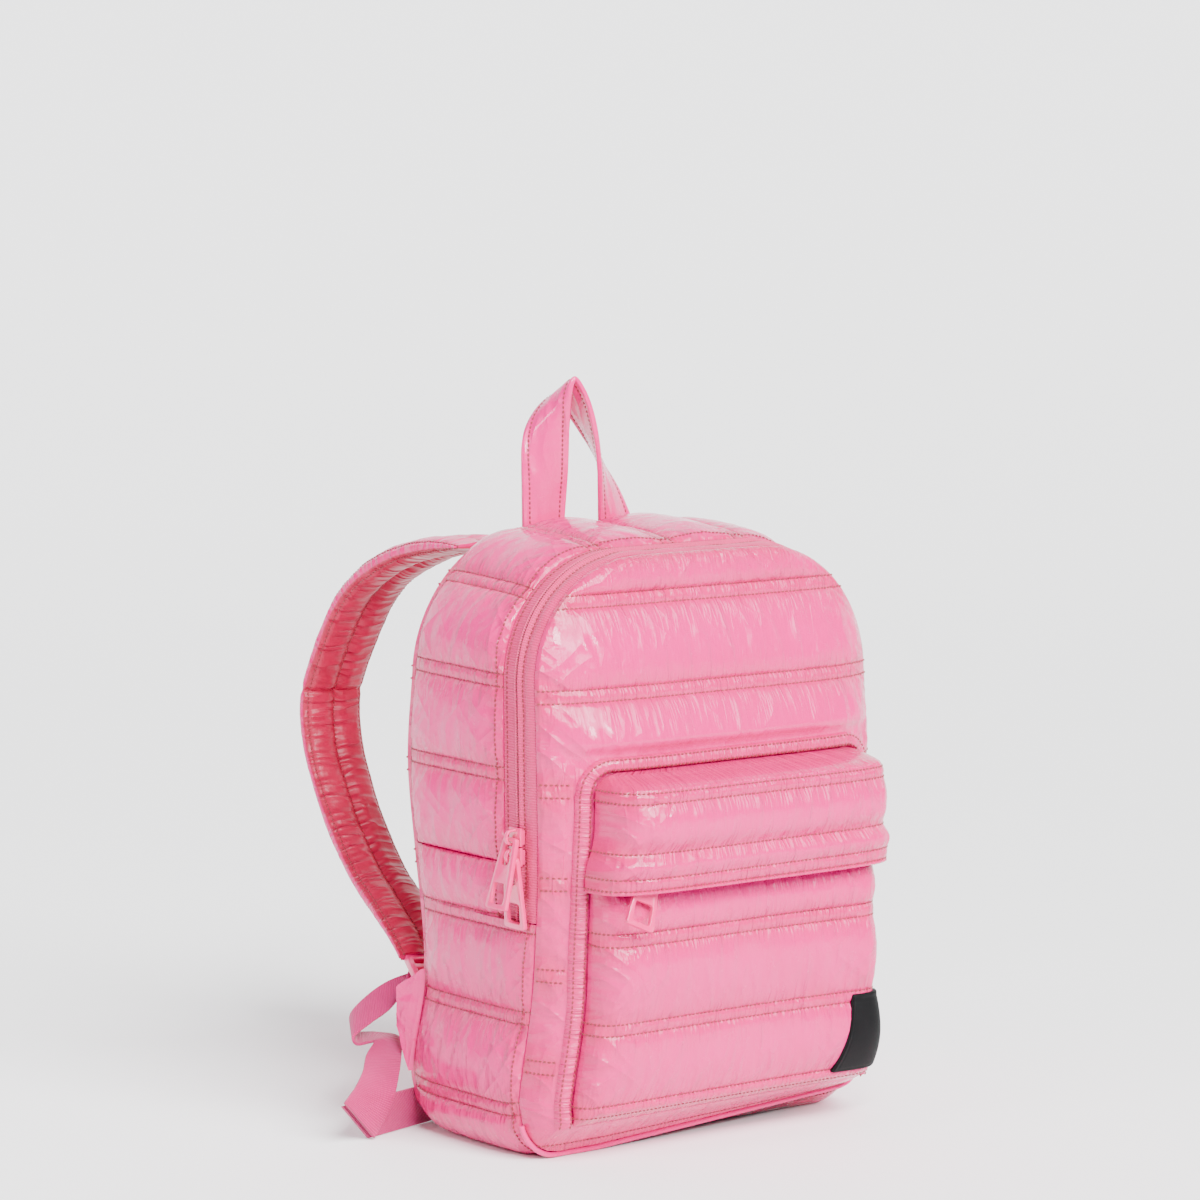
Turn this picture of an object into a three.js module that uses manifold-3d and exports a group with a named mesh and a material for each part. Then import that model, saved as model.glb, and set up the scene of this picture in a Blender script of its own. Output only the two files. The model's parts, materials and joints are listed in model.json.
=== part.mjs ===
// Mini backpack: a quilted puffer bag with an arched zip, a front pocket under a flap,
// a top handle, two padded shoulder straps and their adjusting webbing.
// Millimetres, +Z up, the front faces -Y. The origin is the middle of the flat underside.

import * as THREE from "three";
import Module from "manifold-3d";
import { mergeVertices } from "three/addons/utils/BufferGeometryUtils.js";

const wasm = await Module();
wasm.setup();

// Main body
const bodyWidth = 206;
const bodyDepth = 93;
const bodyHeight = 297;
const topRadius = 64;
const bottomRadius = 16;
const wall = 3;
const gap = 0.3;
const frontBulge = 20;
const backBulge = 5;
const sideBulge = 2.5;
const topRise = 3;
const baseLift = 3.3;
const cornerLift = 10;

// Quilting: pairs of stitched lines with padded channels between them
const quiltPitch = 45.8;
const quiltPair = 6.3;
const quiltPuff = 4.5;
const frontPairHeight = 276;
const foldSeamHeight = 146;
const lowerPairDrop = 30;

// Zip
const zipWidth = 23.5;
const zipEndDrop = 28;
const zipEndHeight = foldSeamHeight - zipEndDrop;
const tapeThick = 1.2;
const coilWidth = 5.4;
const coilHeight = 1.9;

// Front pocket
const pocketHalfTop = 83.5;
const pocketHalfBottom = 89.5;
const pocketBottom = 17;
const pocketTop = 193;
const pocketMouthHeight = 136;
const pocketZipRise = 16;
const pocketZipHeight = pocketMouthHeight + pocketZipRise;
const pocketDepth = 26;
const tapeOutLow = 0.5;
const tapeOutHigh = 0.26;
const pocketFill = 0.4;
const pocketWall = 2.6;
const flapWall = 3.4;
const flapOverhang = 5;
const frameBand = 6.5;
const frameThick = 3;
const frameCorner = 14;
const frameOffset = frameBand / 2 + 2 * gap;
const bindingRadius = 1.4;

// Label
const labelHeight = 42;
const labelBottom = 27;
const labelThick = 1.6;
const labelInnerTop = 0.77;
const labelInnerBottom = 0.665;
const labelFold = 0.88;
const labelTurn = 0.95;
const labelOuterShare = 0.975;

// Handle and shoulder straps
const handleWidth = 25;
const handleThick = 3;
const handleRise = 69;
const handleSpread = 48;
const strapWidthTop = 42;
const strapWidthEnd = 32;
const strapThick = 12;
const strapHemThick = 4;
const strapRoot = 58;
const strapReach = 136;

// Webbing, wings and ladder locks
const webbingWidth = 20;
const webbingThick = 1.5;
const lockLength = 15;
const lockWidth = 26;
const lockThick = 4;
const lockBar = 3;
const wingThick = 2;
const wingReach = 12;
const wingTop = 82;
const wingFoot = 30;
const wingTipHeight = 62;
const tailRest = 78;
const tailCourse = 15.4;

// Sliders and pullers
const sliderLength = 9;
const sliderWidth = 9.4;
const sliderPlate = 1.5;
const sliderSpacing = 9.6;
const upperSliderRise = 14.4;
const upperSliderHeight = foldSeamHeight + upperSliderRise;
const bridgeLength = 7.8;
const bridgeHeight = 4.9;
const bridgeWidth = 2.2;
const bridgeThick = 1.1;
const pullerLength = 35.5;
const pullerTopWidth = 10.6;
const pullerEndWidth = 16;
const pullerThick = 2.2;
const pullerBar = 1.8;
const barClear = 0.5;
const barDrop = 1;
const pullerSlotLength = 12;
const pullerSlotWidth = 6.4;
const pullerRim = 2.4;
const pullerWindow = 10.5;
const upperPullerLean = 16;
const lowerPullerLean = -4;
const pocketPullerLean = 16;
const pocketPullerSwing = 25;
const pocketSliderPlace = -59;

// Colours, seen under soft white light
const pinkFabric = { color: 0xf298b8, roughness: 0.28, metalness: 0 };
const deepPinkFabric = { color: 0xdc4b73, roughness: 0.35, metalness: 0 };
const pinkWebbing = { color: 0xe882af, roughness: 0.75, metalness: 0 };
const zipFabric = { color: 0xee86ac, roughness: 0.7, metalness: 0 };
const pinkLacquer = { color: 0xf59cbc, roughness: 0.3, metalness: 0.1 };
const blackRubber = { color: 0x16161a, roughness: 0.55, metalness: 0 };

// How the stuffed body departs from a plain box, by share of its height. The front swells by
// bulge, and box says how squarely: a large power keeps it full right up to its side seams.
const bodyProfile = [
  { at: 0.0, width: 1.0, front: 0.93, back: 0.95, bulge: 0.0, box: 24 },
  { at: 0.057, width: 1.02, front: 0.9, back: 0.99, bulge: 0.86, box: 24 },
  { at: 0.1, width: 1.03, front: 0.88, back: 1.02, bulge: 0.96, box: 24 },
  { at: 0.25, width: 0.985, front: 0.95, back: 0.93, bulge: 0.98, box: 15 },
  { at: 0.34, width: 0.985, front: 1.02, back: 0.93, bulge: 0.98, box: 9 },
  { at: 0.48, width: 1.0, front: 1.12, back: 1.03, bulge: 0.98, box: 6 },
  { at: 0.63, width: 1.005, front: 1.12, back: 1.14, bulge: 1.0, box: 6 },
  { at: 0.78, width: 1.0, front: 1.07, back: 1.06, bulge: 0.6, box: 6 },
  { at: 0.9, width: 1.0, front: 1.02, back: 0.98, bulge: 0.25, box: 6 },
  { at: 1.0, width: 1.0, front: 1.0, back: 0.95, bulge: 0.0, box: 6 },
];

// How far the pocket's face stands out, as a share of pocketDepth, by share of its height
const pocketProfile = [
  { at: 0.0, out: 0.1 },
  { at: 0.042, out: 0.38 },
  { at: 0.092, out: 0.46 },
  { at: 0.25, out: 0.74 },
  { at: 0.4, out: 0.66 },
  { at: 0.445, out: 0.66 },
  { at: 0.61, out: 0.83 },
  { at: 0.773, out: 0.66 },
  { at: 0.826, out: 0.64 },
  { at: 0.91, out: 0.65 },
  { at: 1.0, out: 0.55 },
];

// The flap from its sewn top edge down to its free lip: out as a share of pocketDepth,
// drop as a share of the flap's height, over as a share of flapOverhang
const flapProfile = [
  { out: 0.1, drop: 0.0, over: 0.0 },
  { out: 0.45, drop: 0.03, over: 0.0 },
  { out: 0.92, drop: 0.08, over: 0.0 },
  { out: 1.02, drop: 0.13, over: 0.0 },
  { out: 1.03, drop: 0.21, over: 0.0 },
  { out: 1.12, drop: 0.36, over: 0.0 },
  { out: 1.1, drop: 0.52, over: 0.0 },
  { out: 0.97, drop: 0.65, over: 0.3 },
  { out: 1.07, drop: 0.76, over: 0.8 },
  { out: 1.0, drop: 0.87, over: 1.0 },
  { out: 0.98, drop: 1.0, over: 1.0 },
];

// The shoulder strap's middle line: out is its share of strapReach behind the back panel,
// up its share of the body's height, side its place across as a share of strapRoot
const strapRoute = [
  { out: 0.0, up: 0.985, side: 1.0, thick: 0.0 },
  { out: 0.16, up: 0.98, side: 1.0, thick: 0.7 },
  { out: 0.34, up: 0.966, side: 1.0, thick: 1.0 },
  { out: 0.5, up: 0.942, side: 1.02, thick: 1.0 },
  { out: 0.66, up: 0.905, side: 1.03, thick: 1.0 },
  { out: 0.8, up: 0.85, side: 1.04, thick: 1.0 },
  { out: 0.93, up: 0.76, side: 1.05, thick: 1.0 },
  { out: 1.0, up: 0.68, side: 1.07, thick: 1.0 },
  { out: 0.975, up: 0.6, side: 1.09, thick: 1.0 },
  { out: 0.88, up: 0.527, side: 1.13, thick: 1.0 },
  { out: 0.755, up: 0.46, side: 1.18, thick: 1.0 },
  { out: 0.57, up: 0.39, side: 1.25, thick: 1.0 },
  { out: 0.39, up: 0.343, side: 1.31, thick: 0.95 },
  { out: 0.24, up: 0.304, side: 1.37, thick: 0.7 },
  { out: 0.15, up: 0.275, side: 1.41, thick: 0.4 },
];

// The loose webbing's route from the ladder lock: out and back in webbing widths from the
// lock, up as a share of the lock's height; turn and tilt aim its width, in degrees, and
// reach is the length across it in webbing widths
const tailRoute = [
  { out: 0.55, back: 0.42, up: 0.89, turn: 40, tilt: 22, reach: 1.0 },
  { out: 1.1, back: 0.4, up: 0.83, turn: 58, tilt: 34, reach: 1.0 },
  { out: 1.7, back: 0.38, up: 0.76, turn: 60, tilt: 33, reach: 1.0 },
  { out: 2.2, back: 0.38, up: 0.67, turn: 60, tilt: 22, reach: 1.0 },
  { out: 2.1, back: 0.35, up: 0.585, turn: 58, tilt: 8, reach: 1.0 },
  { out: 1.65, back: 0.3, up: 0.575, turn: 48, tilt: 2, reach: 1.0 },
  { out: 1.38, back: 0.05, up: 0.56, turn: 14, tilt: -2, reach: 1.0 },
  { out: 1.75, back: -0.35, up: 0.49, turn: -8, tilt: -4, reach: 1.0 },
  { out: 2.12, back: -0.75, up: 0.4, turn: -12, tilt: -10, reach: 1.0 },
  { out: 2.6, back: -1.12, up: 0.285, turn: -3, tilt: -25, reach: 1.2 },
  { out: 3.22, back: -1.4, up: 0.155, turn: 15, tilt: -44, reach: 1.55 },
];

// The handle's middle line and the aim of its width: side as a share of half its spread,
// up as a share of its rise, turn and tilt of the width's front end in degrees
const handleRoute = [
  { side: -1.1, up: 0.0, turn: 2, tilt: 0 },
  { side: -1.06, up: 0.34, turn: 14, tilt: 5 },
  { side: -1.03, up: 0.66, turn: 36, tilt: 15 },
  { side: -0.88, up: 0.88, turn: 68, tilt: 25 },
  { side: -0.58, up: 1.0, turn: 92, tilt: 29 },
  { side: -0.3, up: 0.93, turn: 100, tilt: 27 },
  { side: -0.05, up: 0.8, turn: 106, tilt: 20 },
  { side: 0.2, up: 0.62, turn: 116, tilt: 10 },
  { side: 0.45, up: 0.41, turn: 132, tilt: 4 },
  { side: 0.65, up: 0.22, turn: 150, tilt: 0 },
  { side: 0.82, up: 0.0, turn: 168, tilt: 0 },
];

// Small number helpers
function clamp(value, low, high) {
  return Math.min(Math.max(value, low), high);
}

function degrees(angle) {
  return (angle * Math.PI) / 180;
}

// A smooth value from one column of a table whose rows rise in the column "at"
function fromTable(table, column, at) {
  const last = table.length - 1;
  let k = 0;
  while (k < last - 1 && at > table[k + 1].at) k += 1;
  const low = table[k];
  const high = table[k + 1];
  const before = table[Math.max(k - 1, 0)];
  const after = table[Math.min(k + 2, last)];
  const t = clamp((at - low.at) / (high.at - low.at), 0, 1);
  const span = high.at - low.at;
  const slopeLow = k === 0 ? 0 : ((high[column] - before[column]) / (high.at - before.at)) * span;
  const slopeHigh = k + 2 > last ? 0 : ((after[column] - low[column]) / (after.at - low.at)) * span;
  const a = 2 * t ** 3 - 3 * t ** 2 + 1;
  const b = t ** 3 - 2 * t ** 2 + t;
  const c = -2 * t ** 3 + 3 * t ** 2;
  const d = t ** 3 - t ** 2;
  return a * low[column] + b * slopeLow + c * high[column] + d * slopeHigh;
}

// A smooth curve through a table's rows, sampled evenly in its row number
function alongRows(rows, columns, samples) {
  const numbered = rows.map((row, k) => ({ ...row, at: k / (rows.length - 1) }));
  return Array.from({ length: samples + 1 }, (_, k) => {
    const result = {};
    for (const column of columns) result[column] = fromTable(numbered, column, k / samples);
    return result;
  });
}

// Solid makers: a sheet between two grids of points, and a sweep through rings of points
function closedGeometry(points, triangles) {
  let volume = 0;
  const [a, b, c] = [new THREE.Vector3(), new THREE.Vector3(), new THREE.Vector3()];
  for (const [i, j, k] of triangles) {
    a.fromArray(points[i]);
    b.fromArray(points[j]);
    c.fromArray(points[k]);
    volume += a.dot(b.clone().cross(c));
  }
  const ordered = volume > 0 ? triangles : triangles.map(([i, j, k]) => [i, k, j]);
  const geometry = new THREE.BufferGeometry();
  geometry.setAttribute("position", new THREE.Float32BufferAttribute(points.flat(), 3));
  geometry.setIndex(ordered.flat());
  geometry.computeVertexNormals();
  return geometry;
}

function sheet(outer, inner) {
  const rows = outer.length;
  const columns = outer[0].length;
  const points = [...outer.flat(), ...inner.flat()];
  const out = (i, j) => i * columns + j;
  const into = (i, j) => rows * columns + i * columns + j;
  const triangles = [];
  const quad = (a, b, c, d) => triangles.push([a, b, c], [a, c, d]);
  for (let i = 0; i < rows - 1; i += 1) {
    for (let j = 0; j < columns - 1; j += 1) {
      quad(out(i, j), out(i, j + 1), out(i + 1, j + 1), out(i + 1, j));
      quad(into(i, j), into(i + 1, j), into(i + 1, j + 1), into(i, j + 1));
    }
    quad(out(i, 0), out(i + 1, 0), into(i + 1, 0), into(i, 0));
    quad(out(i + 1, columns - 1), out(i, columns - 1), into(i, columns - 1), into(i + 1, columns - 1));
  }
  for (let j = 0; j < columns - 1; j += 1) {
    quad(out(0, j + 1), out(0, j), into(0, j), into(0, j + 1));
    quad(out(rows - 1, j), out(rows - 1, j + 1), into(rows - 1, j + 1), into(rows - 1, j));
  }
  return closedGeometry(points, triangles);
}

function sweep(rings) {
  const sides = rings[0].length;
  const points = rings.flat();
  const triangles = [];
  for (let k = 0; k < rings.length - 1; k += 1) {
    for (let j = 0; j < sides; j += 1) {
      const next = (j + 1) % sides;
      const [a, b] = [k * sides + j, k * sides + next];
      const [c, d] = [(k + 1) * sides + next, (k + 1) * sides + j];
      triangles.push([a, b, c], [a, c, d]);
    }
  }
  for (const [k, forward] of [[0, false], [rings.length - 1, true]]) {
    const middle = points.length;
    const ring = rings[k];
    points.push([0, 1, 2].map((axis) => ring.reduce((sum, p) => sum + p[axis], 0) / sides));
    for (let j = 0; j < sides; j += 1) {
      const next = (j + 1) % sides;
      const [a, b] = [k * sides + j, k * sides + next];
      triangles.push(forward ? [a, b, middle] : [b, a, middle]);
    }
  }
  return closedGeometry(points, triangles);
}

// Boolean helpers on closed three.js geometries
function toSolid(geometry) {
  const bare = geometry.index ? geometry.clone() : geometry;
  bare.deleteAttribute("normal");
  bare.deleteAttribute("uv");
  const merged = mergeVertices(bare, 1e-4);
  const vertProperties = new Float32Array(merged.attributes.position.array);
  const triVerts = new Uint32Array(merged.index.array);
  return new wasm.Manifold(new wasm.Mesh({ numProp: 3, vertProperties, triVerts }));
}

function fromSolid(solid) {
  const mesh = solid.getMesh();
  const geometry = new THREE.BufferGeometry();
  geometry.setAttribute("position", new THREE.Float32BufferAttribute(mesh.vertProperties, 3));
  geometry.setIndex(Array.from(mesh.triVerts));
  geometry.computeVertexNormals();
  return geometry;
}

function block(width, depth, height, x, y, z) {
  return new THREE.BoxGeometry(width, depth, height).translate(x, y, z);
}

function extruded(shape, depth, curveSegments = 4) {
  return new THREE.ExtrudeGeometry(shape, { depth, bevelEnabled: false, curveSegments });
}

const bag = new THREE.Group();

function addPart(name, geometry, finish, matrix = null) {
  const mesh = new THREE.Mesh(geometry, new THREE.MeshStandardMaterial(finish));
  mesh.name = name;
  if (matrix) matrix.decompose(mesh.position, mesh.quaternion, mesh.scale);
  bag.add(mesh);
  return mesh;
}

// The outline of the body, seen from the front, by the length along it from the top's middle
const topFlat = bodyWidth / 2 - topRadius;
const topArc = (topRadius * Math.PI) / 2;
const sideFlat = bodyHeight - topRadius - bottomRadius;
const bottomArc = (bottomRadius * Math.PI) / 2;
const bottomFlat = bodyWidth / 2 - bottomRadius;
const halfOutline = topFlat + topArc + sideFlat + bottomArc + bottomFlat;

function outlineAt(length) {
  const side = Math.sign(length) || 1;
  let rest = Math.abs(length);
  if (rest <= topFlat) return { x: side * rest, z: bodyHeight, nx: 0, nz: 1 };
  rest -= topFlat;
  if (rest <= topArc) {
    const angle = rest / topRadius;
    const x = topFlat + topRadius * Math.sin(angle);
    const z = bodyHeight - topRadius + topRadius * Math.cos(angle);
    return { x: side * x, z, nx: side * Math.sin(angle), nz: Math.cos(angle) };
  }
  rest -= topArc;
  if (rest <= sideFlat) {
    return { x: (side * bodyWidth) / 2, z: bodyHeight - topRadius - rest, nx: side, nz: 0 };
  }
  rest -= sideFlat;
  if (rest <= bottomArc) {
    const angle = rest / bottomRadius;
    const x = bottomFlat + bottomRadius * Math.cos(angle);
    const z = bottomRadius - bottomRadius * Math.sin(angle);
    return { x: side * x, z, nx: side * Math.cos(angle), nz: -Math.sin(angle) };
  }
  rest -= bottomArc;
  return { x: side * (bottomFlat - rest), z: 0, nx: 0, nz: -1 };
}

function lengthAtHeight(height) {
  return topFlat + topArc + (bodyHeight - topRadius - height);
}

function halfWidthAt(height) {
  if (height > bodyHeight - topRadius) {
    const rise = height - (bodyHeight - topRadius);
    return topFlat + Math.sqrt(Math.max(topRadius ** 2 - rise ** 2, 0));
  }
  if (height < bottomRadius) {
    const drop = bottomRadius - height;
    return bottomFlat + Math.sqrt(Math.max(bottomRadius ** 2 - drop ** 2, 0));
  }
  return bodyWidth / 2;
}

// The body as it settles when stuffed and stood up: every body piece goes through this
function settled([x, y, z]) {
  const share = clamp(z / bodyHeight, 0, 1);
  const half = bodyDepth / 2;
  const across = clamp(y / half, -1, 1);
  const depth = fromTable(bodyProfile, across < 0 ? "front" : "back", share);
  const edge = Math.max(0, (Math.abs(across) - 0.64) / 0.36);
  const slump = across < 0 ? clamp((x / bodyWidth + 0.3) / 0.8, 0, 1) : 0;
  const lift = baseLift * edge ** 2 * (1 - share) ** 8 + cornerLift * slump * edge ** 2 * (1 - share) ** 30;
  return [
    x * fromTable(bodyProfile, "width", share),
    across * half * depth + (y - across * half),
    z + topRise * share ** 4 * across + lift,
  ];
}

// Rows across the quilting: the stitched lines, and three rows up each padded channel.
// A row holds where it is and how far its channel puffs, from 0 to 1.
function quiltRows(start, end, firstPair) {
  const rows = [];
  const firstIndex = Math.ceil((start - firstPair) / quiltPitch) - 1;
  const lastIndex = Math.floor((end - firstPair) / quiltPitch) + 1;
  for (let k = firstIndex; k <= lastIndex; k += 1) {
    const low = firstPair + k * quiltPitch + quiltPair / 2;
    const high = firstPair + (k + 1) * quiltPitch - quiltPair / 2;
    const from = Math.max(low, start);
    const to = Math.min(high, end);
    if (to - from < quiltPair) continue;
    for (const t of [0, 0.2, 0.5, 0.8, 1]) {
      rows.push({ at: from + (to - from) * t, puff: (4 * t * (1 - t)) ** 0.7 });
    }
  }
  const ends = [start, end].filter((at) => rows.every((row) => Math.abs(row.at - at) > 1));
  for (const at of ends) rows.push({ at, puff: 0 });
  return rows.sort((a, b) => a.at - b.at);
}

// A wall piece that runs round the outline between two places across the depth
function wallPiece(rows, shares, frontOf, back, puffOf) {
  const outer = [];
  const inner = [];
  for (const row of rows) {
    const place = outlineAt(row.at);
    const front = frontOf(row.at);
    outer.push([]);
    inner.push([]);
    for (const share of shares) {
      const y = front + (back - front) * share;
      const out = puffOf(row, share);
      outer.at(-1).push(settled([place.x + place.nx * out, y, place.z + place.nz * out]));
      inner.at(-1).push(settled([place.x - place.nx * wall, y, place.z - place.nz * wall]));
    }
  }
  return sheet(outer, inner);
}

const acrossShares = [0, 0.1, 0.3, 0.5, 0.7, 0.9, 1];

function pillow(share, power = 4) {
  return (1 - Math.abs(2 * share - 1) ** power) ** 0.6;
}

const frontSeam = -bodyDepth / 2;
const backSeam = bodyDepth / 2;
const zipRear = frontSeam + zipWidth;
const zipMiddle = frontSeam + zipWidth / 2;
const foldLength = lengthAtHeight(foldSeamHeight);
const zipEndLength = lengthAtHeight(zipEndHeight);

function sidePuff(row, share) {
  return pillow(share) * (sideBulge + quiltPuff * row.puff);
}

function addUpperGusset() {
  const rows = quiltRows(-foldLength + gap, foldLength - gap, 0);
  const extra = quiltArcRows(rows, topFlat, topFlat + topArc);
  const geometry = wallPiece(extra, acrossShares, () => zipRear + gap, backSeam - gap, sidePuff);
  addPart("gusset_upper", geometry, pinkFabric);
}

// Bends need rows of their own where two rows of quilting stand far apart
function quiltArcRows(rows, from, to) {
  const longest = 13;
  const result = [];
  rows.forEach((row, k) => {
    if (k > 0) {
      const before = rows[k - 1];
      const middle = (Math.abs(before.at) + Math.abs(row.at)) / 2;
      const bends = middle > from && middle < to;
      if (bends && row.at - before.at > longest) {
        result.push({ at: (before.at + row.at) / 2, puff: (before.puff + row.puff) / 2 });
      }
    }
    result.push(row);
  });
  return result;
}

function addLowerGusset() {
  const start = foldLength + gap;
  const flatStart = topFlat + topArc + sideFlat + bottomArc;
  const side = quiltRows(start, topFlat + topArc + sideFlat, foldLength + lowerPairDrop);
  side.splice(1, 0, { at: zipEndLength, puff: 0 }, { at: zipEndLength + gap, puff: 0 });
  side.sort((a, b) => a.at - b.at);
  for (const [t, puff] of [[0.25, 0.6], [0.5, 0.5], [0.75, 0.2], [1, 0]]) {
    side.push({ at: topFlat + topArc + sideFlat + bottomArc * t, puff });
  }
  side.push({ at: flatStart + bottomFlat / 2, puff: 0 });
  const near = side.map((row) => ({ ...row }));
  const far = side.map((row) => ({ at: 2 * halfOutline - row.at, puff: row.puff })).reverse();
  const rows = [...near, { at: halfOutline, puff: 0 }, ...far];
  const unfolded = (at) => (at <= halfOutline ? at : at - 2 * halfOutline);
  const beside = (at) => Math.min(at, 2 * halfOutline - at);
  const frontOf = (at) => (beside(at) <= zipEndLength ? zipRear + gap : frontSeam + gap);
  const outer = [];
  const inner = [];
  for (const row of rows) {
    const place = outlineAt(unfolded(row.at));
    const flatness = clamp((beside(row.at) - (topFlat + topArc + sideFlat)) / bottomArc, 0, 1);
    outer.push([]);
    inner.push([]);
    for (const share of acrossShares) {
      const front = frontOf(row.at);
      const y = front + (backSeam - gap - front) * share;
      const out = sidePuff(row, share) * (1 - flatness);
      outer.at(-1).push(settled([place.x + place.nx * out, y, place.z + place.nz * out]));
      inner.at(-1).push(settled([place.x - place.nx * wall, y, place.z - place.nz * wall]));
    }
  }
  addPart("gusset_lower", sheet(outer, inner), pinkFabric);
}

// The zip: two woven tapes as one band, and its closed coil
const zipSteps = 40;

function zipLengths() {
  const reach = zipEndLength - gap;
  return Array.from({ length: zipSteps + 1 }, (_, k) => -reach + (2 * reach * k) / zipSteps);
}

function addZip() {
  const band = [zipRear - gap, frontSeam + gap];
  const outer = [];
  const inner = [];
  const rings = [];
  for (const length of zipLengths()) {
    const { x, z, nx, nz } = outlineAt(length);
    const at = (y, out) => settled([x + nx * out, y, z + nz * out]);
    outer.push(band.map((y) => at(y, 0)));
    inner.push(band.map((y) => at(y, -tapeThick)));
    const half = coilWidth / 2;
    rings.push([
      at(zipMiddle - half, gap),
      at(zipMiddle + half, gap),
      at(zipMiddle + half * 0.7, gap + coilHeight),
      at(zipMiddle - half * 0.7, gap + coilHeight),
    ]);
  }
  addPart("zip_tape", sheet(outer, inner), zipFabric);
  addPart("zip_coil", sweep(rings), zipFabric);
}

// The front panel and its face, which the pocket is sewn to

function frontSwell(x, height) {
  const across = clamp(x / halfWidthAt(height), -1, 1);
  const share = height / bodyHeight;
  const edge = 1 - Math.abs(across) ** fromTable(bodyProfile, "box", share);
  return frontBulge * fromTable(bodyProfile, "bulge", share) * edge;
}

function pocketHalf(height) {
  const share = clamp((height - pocketBottom) / (pocketTop - pocketBottom), 0, 1);
  const round = frameCorner - frameOffset;
  const rise = clamp(height - (pocketTop - round), 0, round);
  const inset = round - Math.sqrt(round ** 2 - rise ** 2);
  return pocketHalfBottom + (pocketHalfTop - pocketHalfBottom) * share - inset;
}

const frameReach = frameOffset + frameBand / 2 + 2 * gap;

// 0 on and beside the pocket, where the panel is held flat, and 1 away from it
function freeOfPocket(x, height) {
  const beside = Math.abs(x) - pocketHalf(Math.min(height, pocketTop - frameCorner)) - frameReach;
  const above = height - pocketTop - frameReach;
  const clear = Math.max(beside, above, pocketBottom - frameReach - height);
  const t = clamp(clear / (2 * frameBand), 0, 1);
  return t * t * (3 - 2 * t);
}

function faceY(x, height) {
  return frontSeam - gap - wall - frontSwell(x, height);
}

// Rows closer than this to a stitched line are left out, so that no face is a sliver
const rowClear = 2;

function heightRows(firstPair, low, high) {
  const rows = quiltRows(low, high, firstPair - quiltPitch * 8);
  const extra = [0.3, 0.65].map((t) => ({ at: low + bottomRadius * t, puff: 0 }));
  const bends = [0.3, 0.55, 0.78, 0.92].map((t) => high - topRadius + topRadius * t);
  for (const at of [pocketTop + frameReach, ...bends]) {
    if (rows.every((row) => Math.abs(row.at - at) > rowClear)) extra.push({ at, puff: null });
  }
  const all = [...rows, ...extra].sort((a, b) => a.at - b.at);
  all.forEach((row, k) => {
    if (row.puff === null) row.puff = (all[k - 1].puff + (all[k + 1].puff ?? 0)) / 2;
  });
  return all;
}

function panel(rows, columnsOf, outerOf, innerOf) {
  const outer = rows.map((row) => columnsOf(row.at).map((x) => settled([x, outerOf(x, row), row.at])));
  const inner = rows.map((row) => columnsOf(row.at).map((x) => settled([x, innerOf(x, row), row.at])));
  return sheet(outer, inner);
}

function bothSides(half) {
  return [...half.map((x) => -x), 0, ...half.toReversed()];
}

// Columns of the front panel: its edge, both edges of the pocket's frame, and the middle
function faceColumns(height) {
  const reach = halfWidthAt(height);
  const held = pocketHalf(Math.min(height, pocketTop - frameCorner)) + frameReach;
  const beside = Math.min(held, 0.94 * reach);
  const within = Math.min(held - frameReach - 3, 0.86 * reach);
  return bothSides([reach, (reach + beside) / 2, beside, within, 0.55 * reach, 0.28 * reach]);
}

function addFrontPanel() {
  const outerOf = (x, row) => {
    const across = x / halfWidthAt(row.at);
    const edge = Math.max(0, 1 - Math.abs(across) ** 10);
    return faceY(x, row.at) - quiltPuff * row.puff * edge * freeOfPocket(x, row.at);
  };
  const innerOf = (x, row) => frontSeam - gap - frontSwell(x, row.at);
  const rows = heightRows(frontPairHeight, 0, bodyHeight);
  addPart("front_panel", panel(rows, faceColumns, outerOf, innerOf), pinkFabric);
}

function addBackPanel() {
  const swell = (x, row) => {
    const across = clamp(x / halfWidthAt(row.at), -1, 1);
    return backBulge * Math.sin((Math.PI * row.at) / bodyHeight) * (1 - across ** 6);
  };
  const outerOf = (x, row) => {
    const across = x / halfWidthAt(row.at);
    const edge = Math.max(0, 1 - Math.abs(across) ** 10);
    return backSeam + gap + wall + swell(x, row) + (quiltPuff / 2) * row.puff * edge;
  };
  const innerOf = (x, row) => backSeam + gap + swell(x, row);
  const rows = heightRows(frontPairHeight, 0, bodyHeight);
  const columns = (height) => bothSides([1, 0.9, 0.5].map((share) => share * halfWidthAt(height)));
  addPart("back_panel", panel(rows, columns, outerOf, innerOf), pinkFabric);
}

// The pocket: its face, its flap, its frame and the zip tape under the flap
const pocketColumns = [-1, -0.985, -0.95, -0.88, -0.7, -0.35, 0, 0.35, 0.7, 0.88, 0.95, 0.985, 1];

function pocketOut(height) {
  return fromTable(pocketProfile, "out", (height - pocketBottom) / (pocketMouthHeight - pocketBottom)) * pocketDepth;
}

function sideShape(share, power) {
  return Math.max(0, 1 - Math.abs(share) ** power) ** 0.45;
}

function pocketFace(share, height, inset = 0) {
  const out = pocketOut(height);
  const full = 1 + pocketFill * clamp(share, 0, 1) ** 2;
  const stand = pocketWall + Math.max(0, out - pocketWall) * full * sideShape(share, 20);
  const x = share * (pocketHalf(height) - inset);
  return settled([x, faceY(x, height) - gap - stand + inset, height]);
}

function pocketHeights() {
  const shares = [0, 0.02, 0.042, 0.092, 0.16, 0.25, 0.34, 0.4, 0.445, 0.52, 0.61, 0.7, 0.773, 0.826, 0.87, 0.93, 1];
  return shares.map((share) => pocketBottom + (pocketMouthHeight - pocketBottom) * share);
}

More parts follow.
